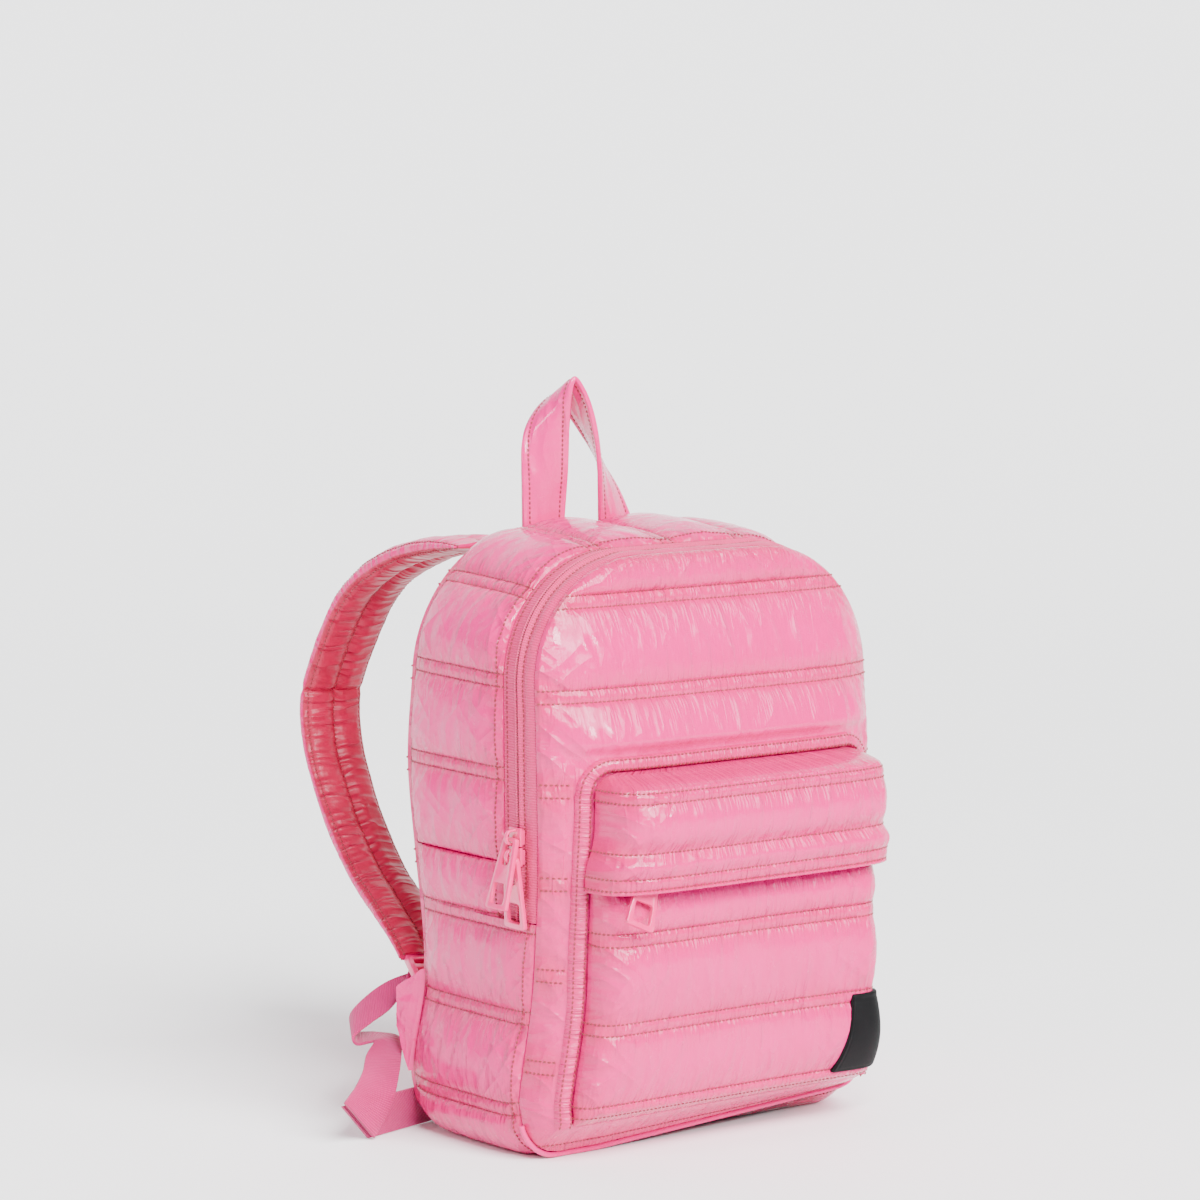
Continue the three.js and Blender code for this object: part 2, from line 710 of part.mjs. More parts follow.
function addPocket() {
  const outer = pocketHeights().map((height) => pocketColumns.map((share) => pocketFace(share, height)));
  const inner = pocketHeights().map((height) => {
    return pocketColumns.map((share) => pocketFace(share, height, pocketWall));
  });
  addPart("front_pocket", sheet(outer, inner), pinkFabric);
}

// The tape that carries the pocket's zip leans back from the mouth to the flap's root
function pocketTapeFace(x, height) {
  const lean = (height - pocketMouthHeight) / (pocketZipHeight - pocketMouthHeight);
  const out = pocketDepth * (tapeOutLow + (tapeOutHigh - tapeOutLow) * lean);
  return settled([x, faceY(x, height) - gap - out, height]);
}

function addPocketTape() {
  const low = pocketMouthHeight + 2 * gap;
  const heights = [low, (low + pocketZipHeight) / 2, pocketZipHeight];
  const shares = [-0.86, -0.6, -0.3, 0, 0.3, 0.6, 0.86];
  const line = (thick) => heights.map((height) => {
    return shares.map((share) => {
      const [x, y, z] = pocketTapeFace(share * pocketHalf(height), height);
      return [x, y + thick, z];
    });
  });
  addPart("pocket_zip_tape", sheet(line(0), line(tapeThick)), zipFabric);
}

function addFlap() {
  const flapHeight = pocketTop - pocketMouthHeight;
  const face = (row, share, inset) => {
    const height = pocketTop - row.drop * flapHeight;
    const half = pocketHalf(height) + row.over * flapOverhang;
    const rim = flapWall + row.over * (frameThick + 2 * gap);
    const stand = rim + Math.max(0, row.out * pocketDepth - rim) * sideShape(share, 24);
    const x = share * (half - inset);
    const lower = row.drop === 0 ? 0 : inset;
    const topInset = row.drop < 0.2 ? inset * 0.8 * (row.drop > 0 ? 1 : 0) : 0;
    return settled([x, faceY(x, height) - gap - stand + lower + (lower ? 0 : inset), height - topInset]);
  };
  const outer = flapProfile.map((row) => pocketColumns.map((share) => face(row, share, 0)));
  const inner = flapProfile.map((row) => pocketColumns.map((share) => face(row, share, flapWall)));
  addPart("pocket_flap", sheet(outer, inner), pinkFabric);
}

// A band of piping round the pocket's two sides and top
function addPocketFrame() {
  const path = [];
  const rise = pocketTop + frameOffset - frameCorner - pocketBottom;
  for (const t of [0, 0.05, 0.12, 0.25, 0.42, 0.6, 0.8, 1]) path.push({ z: pocketBottom + rise * t, turn: 0 });
  for (const turn of [22.5, 45, 67.5, 90]) path.push({ z: pocketBottom + rise, turn: degrees(turn) });
  const topHalf = pocketHalf(pocketTop);
  const left = path.map(({ z, turn }) => {
    const reach = turn === 0 ? pocketHalf(z) + frameOffset - frameCorner : topHalf;
    const x = -reach - frameCorner * Math.cos(turn);
    return { x, z: z + frameCorner * Math.sin(turn), nx: -Math.cos(turn), nz: Math.sin(turn) };
  });
  const seats = faceColumns(pocketTop + frameOffset).filter((x) => Math.abs(x) < topHalf - 2);
  const top = seats.map((x) => ({ x, z: pocketTop + frameOffset, nx: 0, nz: 1 }));
  const right = left.map((row) => ({ ...row, x: -row.x, nx: -row.nx })).reverse();
  const rings = [...left, ...top, ...right].map(({ x, z, nx, nz }) => {
    const corner = (across, out) => {
      const [px, pz] = [x + nx * across, z + nz * across];
      return settled([px, faceY(px, pz) - gap - out, pz]);
    };
    const half = frameBand / 2;
    const low = gap * 0.5;
    return [
      corner(-half, low),
      corner(half, low),
      corner(half * 0.8, frameThick * 0.7),
      corner(0, frameThick),
      corner(-half * 0.8, frameThick * 0.7),
    ];
  });
  addPart("pocket_frame", sweep(rings), pinkFabric);
}

// The binding under the bottom front seam
function addBottomBinding() {
  const flat = [0.5, 1].map((t) => bottomFlat * t);
  const bend = [0.2, 0.4, 0.6, 0.8, 1].map((t) => bottomFlat + bottomArc * t);
  const rings = bothSides([...flat, ...bend].toReversed()).map((place) => {
    const along = halfOutline - Math.abs(place);
    const { x, z, nx, nz } = outlineAt((place < 0 ? -1 : 1) * along);
    const sides = 6;
    return Array.from({ length: sides }, (_, k) => {
      const turn = (2 * Math.PI * k) / sides;
      const out = bindingRadius + gap + bindingRadius * Math.cos(turn);
      const y = frontSeam - gap - wall / 2 + bindingRadius * Math.sin(turn);
      const [px, py, pz] = settled([x, y, z]);
      return [px + nx * out, py, pz + nz * out];
    });
  });
  addPart("bottom_binding", sweep(rings), pinkFabric);
}

// The blank rubber label, wrapped round the pocket's lower right edge
function addLabel() {
  const across = (height) => {
    const inner = labelInnerBottom + ((labelInnerTop - labelInnerBottom) * (height - labelBottom)) / labelHeight;
    return [inner, (inner + labelFold) / 2, labelFold, (labelFold + labelTurn) / 2, labelTurn, labelOuterShare];
  };
  const heights = [0, 0.2, 0.4, 0.6, 0.8, 1].map((t) => labelBottom + labelHeight * t);
  const lifted = (share, height, lift) => {
    const here = new THREE.Vector3(...pocketFace(share, height));
    const right = new THREE.Vector3(...pocketFace(share + 0.004, height));
    const up = new THREE.Vector3(...pocketFace(share, height + 1));
    const normal = right.sub(here).cross(up.sub(here)).normalize();
    return here.addScaledVector(normal, lift).toArray();
  };
  const layer = (lift) => heights.map((height) => across(height).map((share) => lifted(share, height, lift)));
  addPart("label_patch", sheet(layer(3 * gap + labelThick), layer(3 * gap)), blackRubber);
}

// The top handle: one twisting strap between two seats on the back seam
const topSeat = settled([0, backSeam + gap + wall / 2, bodyHeight]);

function addHandle() {
  const rows = alongRows(handleRoute, ["side", "up", "turn", "tilt"], 26);
  const centres = rows.map((row) => new THREE.Vector3(
    (row.side * handleSpread) / 2,
    topSeat[1],
    topSeat[2] + 2 * gap + row.up * handleRise,
  ));
  const rings = rows.map((row, k) => {
    const [turn, tilt] = [degrees(row.turn), degrees(row.tilt)];
    const level = Math.cos(tilt);
    const aim = new THREE.Vector3(level * Math.cos(turn), -level * Math.sin(turn), Math.sin(tilt));
    const before = centres[Math.max(k - 1, 0)];
    const after = centres[Math.min(k + 1, rows.length - 1)];
    const slope = after.clone().sub(before).normalize();
    const normal = aim.clone().cross(slope).normalize();
    const corner = (u, v) => {
      const point = centres[k].clone().addScaledVector(aim, (u * handleWidth) / 2);
      return point.addScaledVector(normal, (v * handleThick) / 2).toArray();
    };
    return [corner(-1, -1), corner(1, -1), corner(1, 1), corner(-1, 1)];
  });
  addPart("handle", sweep(rings), pinkFabric);
}

// The place behind the back panel, clear of its quilting, that straps start from
function behindBack(height) {
  const [, y] = settled([0, backSeam + gap + wall, height]);
  return y;
}

function strapSamples() {
  return alongRows(strapRoute, ["out", "up", "side", "thick"], 30);
}

function strapPoint(row) {
  const root = behindBack(bodyHeight) + 1 + quiltPuff / 2;
  return new THREE.Vector3(-strapRoot * row.side, root + strapReach * row.out, bodyHeight * row.up);
}

function addShoulderStrap(name, side) {
  const rows = strapSamples();
  const centres = rows.map(strapPoint);
  const rings = rows.map((row, k) => {
    const before = centres[Math.max(k - 1, 0)];
    const after = centres[Math.min(k + 1, centres.length - 1)];
    const along = after.clone().sub(before).normalize();
    const across = new THREE.Vector3(1, 0, 0).addScaledVector(along, -along.x).normalize();
    const normal = across.clone().cross(along).normalize();
    const t = k / (rows.length - 1);
    const width = strapWidthTop + (strapWidthEnd - strapWidthTop) * t;
    const thick = strapHemThick + (strapThick - strapHemThick) * clamp(row.thick, 0, 1);
    const section = [
      { u: -1, v: -0.45 },
      { u: -0.55, v: -1 },
      { u: 0, v: -0.5 },
      { u: 0.55, v: -1 },
      { u: 1, v: -0.45 },
      { u: 1, v: 0.45 },
      { u: 0.55, v: 1 },
      { u: 0, v: 0.5 },
      { u: -0.55, v: 1 },
      { u: -1, v: 0.45 },
    ];
    return section.map(({ u, v }) => {
      const point = centres[k].clone();
      point.addScaledVector(across, (u * width) / 2);
      point.addScaledVector(normal, (v * thick) / 2);
      return [point.x * -side, point.y, point.z];
    });
  });
  addPart(name, sweep(rings), deepPinkFabric);
}

// The ladder lock follows on from the strap's lower end, on the left side of the bag
function lockFrame() {
  const rows = strapSamples();
  const end = strapPoint(rows.at(-1));
  const along = end.clone().sub(strapPoint(rows.at(-2))).normalize();
  const across = new THREE.Vector3(1, 0, 0).addScaledVector(along, -along.x).normalize();
  const normal = across.clone().cross(along).normalize();
  const centre = end.clone().addScaledVector(along, lockLength / 2 + 2 * gap);
  return { centre, along, across, normal };
}

function mirrored(geometry, side) {
  return side < 0 ? geometry : geometry.clone().scale(-1, 1, 1);
}

function placed(geometry, frame) {
  const matrix = new THREE.Matrix4().makeBasis(frame.across, frame.along, frame.normal);
  matrix.setPosition(frame.centre);
  return geometry.clone().applyMatrix4(matrix);
}

function reoriented(geometry) {
  const position = geometry.attributes.position;
  const points = Array.from({ length: position.count }, (_, k) => {
    return [position.getX(k), position.getY(k), position.getZ(k)];
  });
  const index = geometry.index.array;
  const triangles = [];
  for (let k = 0; k < index.length; k += 3) triangles.push([index[k], index[k + 1], index[k + 2]]);
  return closedGeometry(points, triangles);
}

function addLadderLock(name, side) {
  const slot = (lockLength - 3 * lockBar) / 2;
  let solid = toSolid(block(lockWidth, lockLength, lockThick, 0, 0, 0));
  for (const place of [-1, 1]) {
    const y = (place * (lockBar + slot)) / 2;
    const hole = block(lockWidth - 2 * lockBar, slot, 2 * lockThick, 0, y, 0);
    solid = solid.subtract(toSolid(hole));
  }
  const geometry = placed(fromSolid(solid), lockFrame());
  addPart(name, reoriented(mirrored(geometry, side)), pinkLacquer);
}

// The wing: a cloth gusset at the back side seam that holds the lower webbing
function wingTip() {
  const [x, y] = settled([-bodyWidth / 2, backSeam, wingTipHeight]);
  return new THREE.Vector3(x - wingReach * 0.5, y + wingReach, wingTipHeight);
}

function addWing(name, side) {
  const tip = wingTip();
  const steps = [0, 0.35, 0.7, 1];
  const layer = (thick) => steps.map((t) => steps.map((s) => {
    const height = wingFoot + (wingTop - wingFoot) * s;
    const [x, y] = settled([-bodyWidth / 2, backSeam, height]);
    const root = [x - 3 * gap, y + 2 * gap, height];
    const end = [tip.x, tip.y, tip.z + webbingWidth * (s - 0.5)];
    const point = root.map((value, axis) => value + (end[axis] - value) * t);
    return [-side * (point[0] - thick), point[1] + thick * 0.4, point[2]];
  }));
  addPart(name, sheet(layer(wingThick), layer(0)), pinkFabric);
}

// A flat band through rows of a middle point and a vector from the middle to one edge
function band(rows, thick) {
  const rings = rows.map(({ middle, across }, k) => {
    const before = rows[Math.max(k - 1, 0)].middle;
    const after = rows[Math.min(k + 1, rows.length - 1)].middle;
    const along = after.clone().sub(before).normalize();
    const normal = across.clone().cross(along).normalize().multiplyScalar(thick / 2);
    const left = middle.clone().sub(across);
    const right = middle.clone().add(across);
    return [
      left.clone().sub(normal).toArray(),
      right.clone().sub(normal).toArray(),
      right.clone().add(normal).toArray(),
      left.clone().add(normal).toArray(),
    ];
  });
  return sweep(rings);
}

// The short webbing from the wing's tip up to the ladder lock
function addAnchorWebbing(name, side) {
  const lock = lockFrame();
  const tip = wingTip();
  const start = tip.clone().add(new THREE.Vector3(0, 2 * gap + wingThick / 2, 0));
  const end = lock.centre.clone().addScaledVector(lock.along, lockLength / 2 + 2 * gap);
  const rows = [0, 0.25, 0.5, 0.75, 1].map((t) => {
    const middle = start.clone().lerp(end, t);
    const across = new THREE.Vector3(0, 0, -1).lerp(lock.across, t).normalize();
    return { middle, across: across.multiplyScalar((webbingWidth / 2) * 0.98) };
  });
  addPart(name, reoriented(mirrored(band(rows, webbingThick), side)), pinkWebbing);
}

// The loose tail: out of the lock, round a loop, down to the floor, folded, and back along it
function addTailWebbing(name, side) {
  const lock = lockFrame();
  const columns = ["out", "back", "up", "turn", "tilt", "reach"];
  const held = [0.15, -0.25].map((share) => {
    const middle = lock.centre.clone().addScaledVector(lock.along, share * lockLength);
    middle.addScaledVector(lock.normal, lockThick / 2 + gap + webbingThick / 2);
    return { middle, across: lock.across.clone().multiplyScalar(webbingWidth / 2) };
  });
  const loose = alongRows(tailRoute, columns, 31).map((row) => {
    const middle = new THREE.Vector3(
      lock.centre.x - row.out * webbingWidth,
      lock.centre.y + row.back * webbingWidth,
      lock.centre.z * row.up,
    );
    const [turn, tilt] = [degrees(row.turn), degrees(row.tilt)];
    const level = Math.cos(tilt);
    const aim = new THREE.Vector3(level * Math.cos(turn), level * Math.sin(turn), Math.sin(tilt));
    return { middle, across: aim.multiplyScalar((row.reach * webbingWidth) / 2) };
  });
  addPart(name, reoriented(mirrored(band([...held, ...loose], webbingThick), side)), pinkWebbing);
}

// The webbing's end: folded back square at the crease, it stands on its edge along the floor
function addTailEnd(name, side) {
  const lock = lockFrame();
  const last = tailRoute.at(-1);
  const crease = new THREE.Vector3(
    lock.centre.x - last.out * webbingWidth,
    lock.centre.y + last.back * webbingWidth + webbingThick + 8 * gap,
    webbingWidth / 2 + gap,
  );
  const course = new THREE.Vector3(Math.cos(degrees(tailCourse)), Math.sin(degrees(tailCourse)), 0);
  const rows = [0, 0.12, 0.3, 0.55, 1].map((t) => {
    const lower = webbingWidth / 2 + tailRest * t;
    const upper = -webbingWidth / 2 + (tailRest + webbingWidth) * t;
    const middle = crease.clone().addScaledVector(course, (lower + upper) / 2);
    const across = course.clone().multiplyScalar((upper - lower) / 2);
    across.z = (webbingWidth / 2) * 0.98;
    return { middle, across };
  });
  addPart(name, reoriented(mirrored(band(rows, webbingThick), side)), pinkWebbing);
}

// Sliders and pullers share one local frame: X along the zip's width, Y up along the zip,
// Z out of the bag, with the origin on the coil's top
function sliderGeometry() {
  const half = sliderWidth / 2;
  let solid = toSolid(block(sliderWidth, sliderLength, sliderPlate, 0, 0, gap + sliderPlate / 2));
  const flange = 1.1;
  const drop = coilHeight * 0.8;
  for (const place of [-1, 1]) {
    const x = place * (half - flange / 2);
    const cheek = block(flange, sliderLength * 0.8, drop + sliderPlate / 2, x, 0, gap - drop / 2 + sliderPlate / 4);
    solid = solid.add(toSolid(cheek));
  }
  const arch = archOutline(new THREE.Shape(), bridgeLength / 2, bridgeHeight + bridgeThick, 0);
  arch.holes.push(archOutline(new THREE.Path(), bridgeLength / 2 - bridgeThick, bridgeHeight, 0.01));
  const bridge = extruded(arch, bridgeWidth, 5).translate(0, 0, -bridgeWidth / 2);
  const stand = new THREE.Matrix4().makeBasis(
    new THREE.Vector3(0, 1, 0),
    new THREE.Vector3(0, 0, 1),
    new THREE.Vector3(1, 0, 0),
  );
  bridge.applyMatrix4(stand).translate(0, 0, gap + sliderPlate - 0.2);
  return fromSolid(solid.add(toSolid(bridge)));
}

// Two straight legs under half an ellipse
function archOutline(path, half, height, foot) {
  const straight = height * 0.45;
  path.moveTo(half, foot);
  path.lineTo(half, straight);
  path.absellipse(0, straight, half, height - straight, 0, Math.PI, false);
  path.lineTo(-half, foot);
  path.closePath();
  return path;
}

function pullerGeometry() {
  const half = pullerTopWidth / 2;
  const end = pullerEndWidth / 2;
  const top = pullerBar / 2;
  const shape = new THREE.Shape();
  shape.moveTo(-half, top - 2);
  shape.quadraticCurveTo(-half, top, -half + 2, top);
  shape.lineTo(half - 2, top);
  shape.quadraticCurveTo(half, top, half, top - 2);
  shape.lineTo(end, top - pullerLength + 1.5);
  shape.quadraticCurveTo(end, top - pullerLength, end - 1.5, top - pullerLength);
  shape.lineTo(-end + 1.5, top - pullerLength);
  shape.quadraticCurveTo(-end, top - pullerLength, -end, top - pullerLength + 1.5);
  shape.closePath();
  shape.holes.push(roundedHole(0, -pullerBar / 2 - pullerSlotLength / 2, pullerSlotWidth, pullerSlotLength));
  const windowMiddle = top - pullerLength + pullerRim + pullerWindow / 2;
  shape.holes.push(roundedHole(0, windowMiddle, pullerWindow, pullerWindow));
  return extruded(shape, pullerThick, 2).translate(0, 0, -pullerThick / 2);
}

function roundedHole(x, y, width, height) {
  const [left, right] = [x - width / 2, x + width / 2];
  const [low, high] = [y - height / 2, y + height / 2];
  const round = 1.6;
  const hole = new THREE.Path();
  hole.moveTo(left + round, low);
  hole.lineTo(right - round, low);
  hole.quadraticCurveTo(right, low, right, low + round);
  hole.lineTo(right, high - round);
  hole.quadraticCurveTo(right, high, right - round, high);
  hole.lineTo(left + round, high);
  hole.quadraticCurveTo(left, high, left, high - round);
  hole.lineTo(left, low + round);
  hole.quadraticCurveTo(left, low, left + round, low);
  return hole;
}

// The frame on the main zip's left side at a height: the place on top of the coil
function coilFrame(height) {
  const place = (at) => {
    const { x, z, nx, nz } = outlineAt(-lengthAtHeight(at));
    const out = gap + coilHeight;
    return new THREE.Vector3(...settled([x + nx * out, zipMiddle, z + nz * out]));
  };
  const centre = place(height);
  const up = place(height + sliderLength / 2).sub(place(height - sliderLength / 2)).normalize();
  const sideways = new THREE.Vector3(0, -1, 0).addScaledVector(up, up.y).normalize();
  const out = sideways.clone().cross(up).normalize();
  return { centre, up, sideways, out };
}

function frameMatrix({ centre, up, sideways, out }) {
  return new THREE.Matrix4().makeBasis(sideways, up, out).setPosition(centre);
}

const barHeight = gap + sliderPlate + barClear + Math.hypot(pullerBar, pullerThick) / 2;

function hungPuller(frame, lean) {
  const tilt = new THREE.Matrix4().makeRotationX(-degrees(lean));
  const lift = new THREE.Matrix4().makeTranslation(0, -barDrop, barHeight);
  return frameMatrix(frame).multiply(lift).multiply(tilt);
}

function addMainSliders() {
  const upper = coilFrame(upperSliderHeight);
  const lower = coilFrame(upperSliderHeight - sliderSpacing);
  addPart("zip_slider_upper", sliderGeometry(), pinkLacquer, frameMatrix(upper));
  addPart("zip_slider_lower", sliderGeometry(), pinkLacquer, frameMatrix(lower));
  addPart("puller_upper", pullerGeometry(), pinkLacquer, hungPuller(upper, upperPullerLean));
  addPart("puller_lower", pullerGeometry(), pinkLacquer, hungPuller(lower, lowerPullerLean));
}

// The pocket's slider lies along its level zip, and its puller hangs on one leg of the bridge
function addPocketSlider() {
  const height = (pocketMouthHeight + pocketZipHeight) / 2 + 2;
  const here = new THREE.Vector3(...pocketTapeFace(pocketSliderPlace, height));
  const above = new THREE.Vector3(...pocketTapeFace(pocketSliderPlace, height + 1));
  const rise = above.sub(here).normalize();
  const level = new THREE.Vector3(1, 0, 0);
  const out = level.clone().cross(rise).normalize();
  const centre = here.addScaledVector(out, coilHeight + gap);
  const slider = { centre, up: level, sideways: rise.clone().negate(), out };
  addPart("pocket_slider", sliderGeometry(), pinkLacquer, frameMatrix(slider));
  const leg = centre.clone().addScaledVector(level, -bridgeLength / 2 + bridgeThick / 2);
  leg.addScaledVector(out, gap + sliderPlate + gap + pullerThick / 2);
  const flatUp = new THREE.Vector3(0, Math.sin(degrees(pocketPullerLean)), Math.cos(degrees(pocketPullerLean)));
  const flatOut = level.clone().cross(flatUp);
  const base = new THREE.Matrix4().makeBasis(level, flatUp, flatOut).setPosition(leg);
  const swing = new THREE.Matrix4().makeRotationZ(-degrees(pocketPullerSwing));
  const hang = new THREE.Matrix4().makeTranslation(0, pullerBar / 2 + bridgeWidth / 2 + 4 * gap, 0);
  addPart("puller_pocket", pullerGeometry(), pinkLacquer, base.multiply(swing).multiply(hang));
}

addFrontPanel();
addBackPanel();
addUpperGusset();
addLowerGusset();
addZip();
addPocket();
addPocketTape();
addFlap();
addPocketFrame();
addBottomBinding();
addLabel();
addHandle();
for (const [word, side] of [["left", -1], ["right", 1]]) {
  addShoulderStrap(`shoulder_strap_${word}`, side);
  addLadderLock(`ladder_lock_${word}`, side);
  addWing(`wing_${word}`, side);
  addAnchorWebbing(`anchor_webbing_${word}`, side);
  addTailWebbing(`tail_webbing_${word}`, side);
  addTailEnd(`tail_end_${word}`, side);
}
addMainSliders();
addPocketSlider();

export default bag;
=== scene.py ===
# %% [markdown]
# # A quilted mini backpack
# The object is a small padded nylon backpack that stands on its bottom. It is sewn from
# quilted panels: cloth, filling and lining stitched through in pairs of lines, so that soft
# channels stand up between them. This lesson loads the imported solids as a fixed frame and
# dresses each one, so every size here repeats a size of the solids, in millimetres.

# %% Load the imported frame
import json
import math

import bmesh
import bpy
import numpy as np
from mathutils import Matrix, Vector

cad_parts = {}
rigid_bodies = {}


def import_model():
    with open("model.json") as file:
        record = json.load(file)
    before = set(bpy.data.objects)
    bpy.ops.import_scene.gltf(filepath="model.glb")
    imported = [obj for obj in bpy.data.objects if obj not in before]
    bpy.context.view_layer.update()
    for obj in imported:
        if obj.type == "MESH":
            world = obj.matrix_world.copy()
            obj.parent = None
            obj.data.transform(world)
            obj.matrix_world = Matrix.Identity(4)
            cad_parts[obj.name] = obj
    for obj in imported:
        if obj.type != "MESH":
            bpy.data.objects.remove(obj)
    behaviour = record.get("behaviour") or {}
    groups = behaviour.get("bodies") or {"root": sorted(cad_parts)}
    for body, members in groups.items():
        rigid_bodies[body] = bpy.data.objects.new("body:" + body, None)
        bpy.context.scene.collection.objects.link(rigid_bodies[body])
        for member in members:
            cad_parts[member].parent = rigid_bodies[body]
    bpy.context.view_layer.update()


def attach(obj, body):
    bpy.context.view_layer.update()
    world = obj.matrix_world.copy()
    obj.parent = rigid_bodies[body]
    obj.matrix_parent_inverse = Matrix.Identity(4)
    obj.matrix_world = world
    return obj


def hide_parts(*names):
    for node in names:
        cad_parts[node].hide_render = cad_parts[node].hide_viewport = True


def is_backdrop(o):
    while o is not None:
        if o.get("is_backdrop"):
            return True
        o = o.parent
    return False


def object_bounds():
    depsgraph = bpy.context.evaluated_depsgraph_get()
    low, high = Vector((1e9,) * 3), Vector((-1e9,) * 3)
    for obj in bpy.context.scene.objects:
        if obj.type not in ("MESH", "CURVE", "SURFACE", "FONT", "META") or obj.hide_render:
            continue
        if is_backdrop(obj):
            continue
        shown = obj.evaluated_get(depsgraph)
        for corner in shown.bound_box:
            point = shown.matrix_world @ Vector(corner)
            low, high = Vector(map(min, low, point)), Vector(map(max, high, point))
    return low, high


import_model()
mm = 0.001

# %% [markdown]
# The camera comes first, because the rest is judged through it. Its place was worked out from
# the stitched lines, which are level and evenly spaced on the real bag. A long lens from two
# metres away gives the nearly parallel edges that the picture shows.

# %% Camera
picture_side = 1200
focal_length = 4500.1
pitch = 0.109437
yaw = 0.652284
camera_place = (-1.3823843, -1.776829, 0.5124152)
lens_data = bpy.data.cameras.new("camera")
lens_data.sensor_width = 36.0
lens_data.lens = focal_length * lens_data.sensor_width / picture_side
lens_data.clip_end = 20.0


def shown(name, data, direction=None):
    """Puts a mesh, a lamp or a camera in the scene, aimed along a direction if it has one."""
    thing = bpy.data.objects.new(name, data)
    bpy.context.scene.collection.objects.link(thing)
    if direction is not None:
        thing.rotation_euler = Vector(direction).to_track_quat("-Z", "Y").to_euler()
    return thing


level_share = math.cos(pitch)
look = (math.sin(yaw) * level_share, math.cos(yaw) * level_share, -math.sin(pitch))
camera = shown("camera", lens_data, look)
camera.location = camera_place
bpy.context.scene.camera = camera
print("lens", round(lens_data.lens, 1), "mm")

# %% [markdown]
# A material is a sum of patterns, so it reads best as arithmetic. One small class wraps a
# node's output and lets Python's own operators add the Math nodes. A second class makes any
# other node, from its type, its settings and the values of its sockets.

# %% Shader maths


class Signal:
    """An output of a node that can be added, multiplied and compared like a number."""

    def __init__(self, recipe, socket):
        self.recipe, self.socket = recipe, socket

    def maths(self, operation, *values):
        return self.recipe.node("Math", {"operation": operation}, dict(enumerate(values)))

    def __add__(self, other):
        return self.maths("ADD", self, other)

    def __sub__(self, other):
        return self.maths("SUBTRACT", self, other)

    def __rsub__(self, other):
        return self.maths("SUBTRACT", other, self)

    def __mul__(self, other):
        return self.maths("MULTIPLY", self, other)

    def __pow__(self, other):
        return self.maths("POWER", self, other)

    def __abs__(self):
        return self.maths("ABSOLUTE", self)

    def above(self, low=0.0):
        return self.maths("MAXIMUM", self, low)

    __radd__, __rmul__ = __add__, __mul__


class Recipe:
    """One material. Makes its nodes and links them to the sockets that they feed."""

    def __init__(self, name, roughness, **even):
        self.material = bpy.data.materials.new(name)
        self.material.use_nodes = True
        self.tree = self.material.node_tree
        self.shader = self.tree.nodes["Principled BSDF"]
        self.feed("Roughness", roughness)
        for socket, value in even.items():
            self.feed(socket.replace("_", " "), value)

    def node(self, kind, settings=None, values=None, output=0):
        node = self.tree.nodes.new("ShaderNode" + kind)
        for name, value in (settings or {}).items():
            setattr(node, name, value)
        for socket, value in (values or {}).items():
            self.join(node.inputs[socket], value)
        return Signal(self, node.outputs[output])

    def join(self, socket, value):
        if isinstance(value, Signal):
            self.tree.links.new(value.socket, socket)
        else:
            socket.default_value = value

    def feed(self, socket, value):
        self.join(self.shader.inputs[socket], value)

    def cloth_map(self):
        return self.node("UVMap", {"uv_map": "cloth"})

    def woven(self, across, along):
        """The cloth's own map, with so many cells to the metre each way."""
        values = {"Vector": self.cloth_map(), "Scale": (across, along, 1)}
        return self.node("Mapping", values=values)

    def slanted(self, across, along, turn):
        """The cloth's map turned by an angle, then counted in cells of a size in metres."""
        values = {"Vector": self.cloth_map(), "Rotation": (0, 0, turn), "Scale": (across, along, 1)}
        return self.node("Mapping", {"vector_type": "TEXTURE"}, values)

    def noise(self, place, detail=2.0, rough=0.5):
        values = {"Vector": place, "Scale": 1.0, "Detail": detail, "Roughness": rough}
        return self.node("TexNoise", values=values)

    def grain(self, count, detail=2.0, rough=0.5):
        """Noise through the whole piece, with so many grains to the metre."""
        source = self.node("TexCoord", output="Object")
        place = self.node("Mapping", values={"Vector": source, "Scale": (count, count, count)})
        return self.noise(place, detail, rough)

    def creases(self, place, detail=2.0, sharp=7.0):
        """Thin crests along the middle values of a stretched noise."""
        return (1 - abs(self.noise(place, detail) - 0.5) * sharp).above() ** 1.6

    def mark(self, word):
        return self.node("Attribute", {"attribute_name": word}, output="Fac")

    def ribs(self, place, direction="X", bend=0.0):
        return self.node("TexWave", {"bands_direction": direction}, {
            "Vector": place, "Scale": 0.31416, "Distortion": bend, "Detail": 1.0,
        }, output="Fac")

    def between(self, mask, low, high):
        return self.node("Mix", {"data_type": "RGBA"}, {0: mask, 6: low, 7: high}, output=2)

    def relief(self, height, depth, strength=1.0):
        """Depth in millimetres for a height of 1."""
        values = {"Height": height, "Distance": depth * mm, "Strength": strength}
        self.feed("Normal", self.node("Bump", values=values))


def tint(*shade):
    """A colour by its numbers out of 255, as the eye sees them, made linear for the shader."""
    linear = [((c / 255 + 0.055) / 1.055) ** 2.4 if c > 10 else c / 255 / 12.92 for c in shade]
    return (*linear, 1.0)


# %% [markdown]
# The shell cloth is a thin nylon with a strong shine. Beside each stitched line it is drawn
# into fine pleats that run square to the line, and along the side seams the pleats run the
# other way. Near the seams longer creases slant both ways. They are too fine for the mesh,
# so they are relief in the material. Two marks on each mesh say how strongly a place is
# gathered and how near a seam it is. Small dents break up the highlights between them.
# The same marks paint light into the colour: the pink is deeper where the cloth is gathered
# and near the seams, as painted shade in the creases, and a little lighter on the pleats'
# crests, as a painted highlight, over a broad random change of tone.

# %% The nylon of the bag
light_pink, deep_pink = tint(226, 0, 124), tint(200, 0, 88)
long_creases = {"detail": 1.0, "sharp": 5.0}


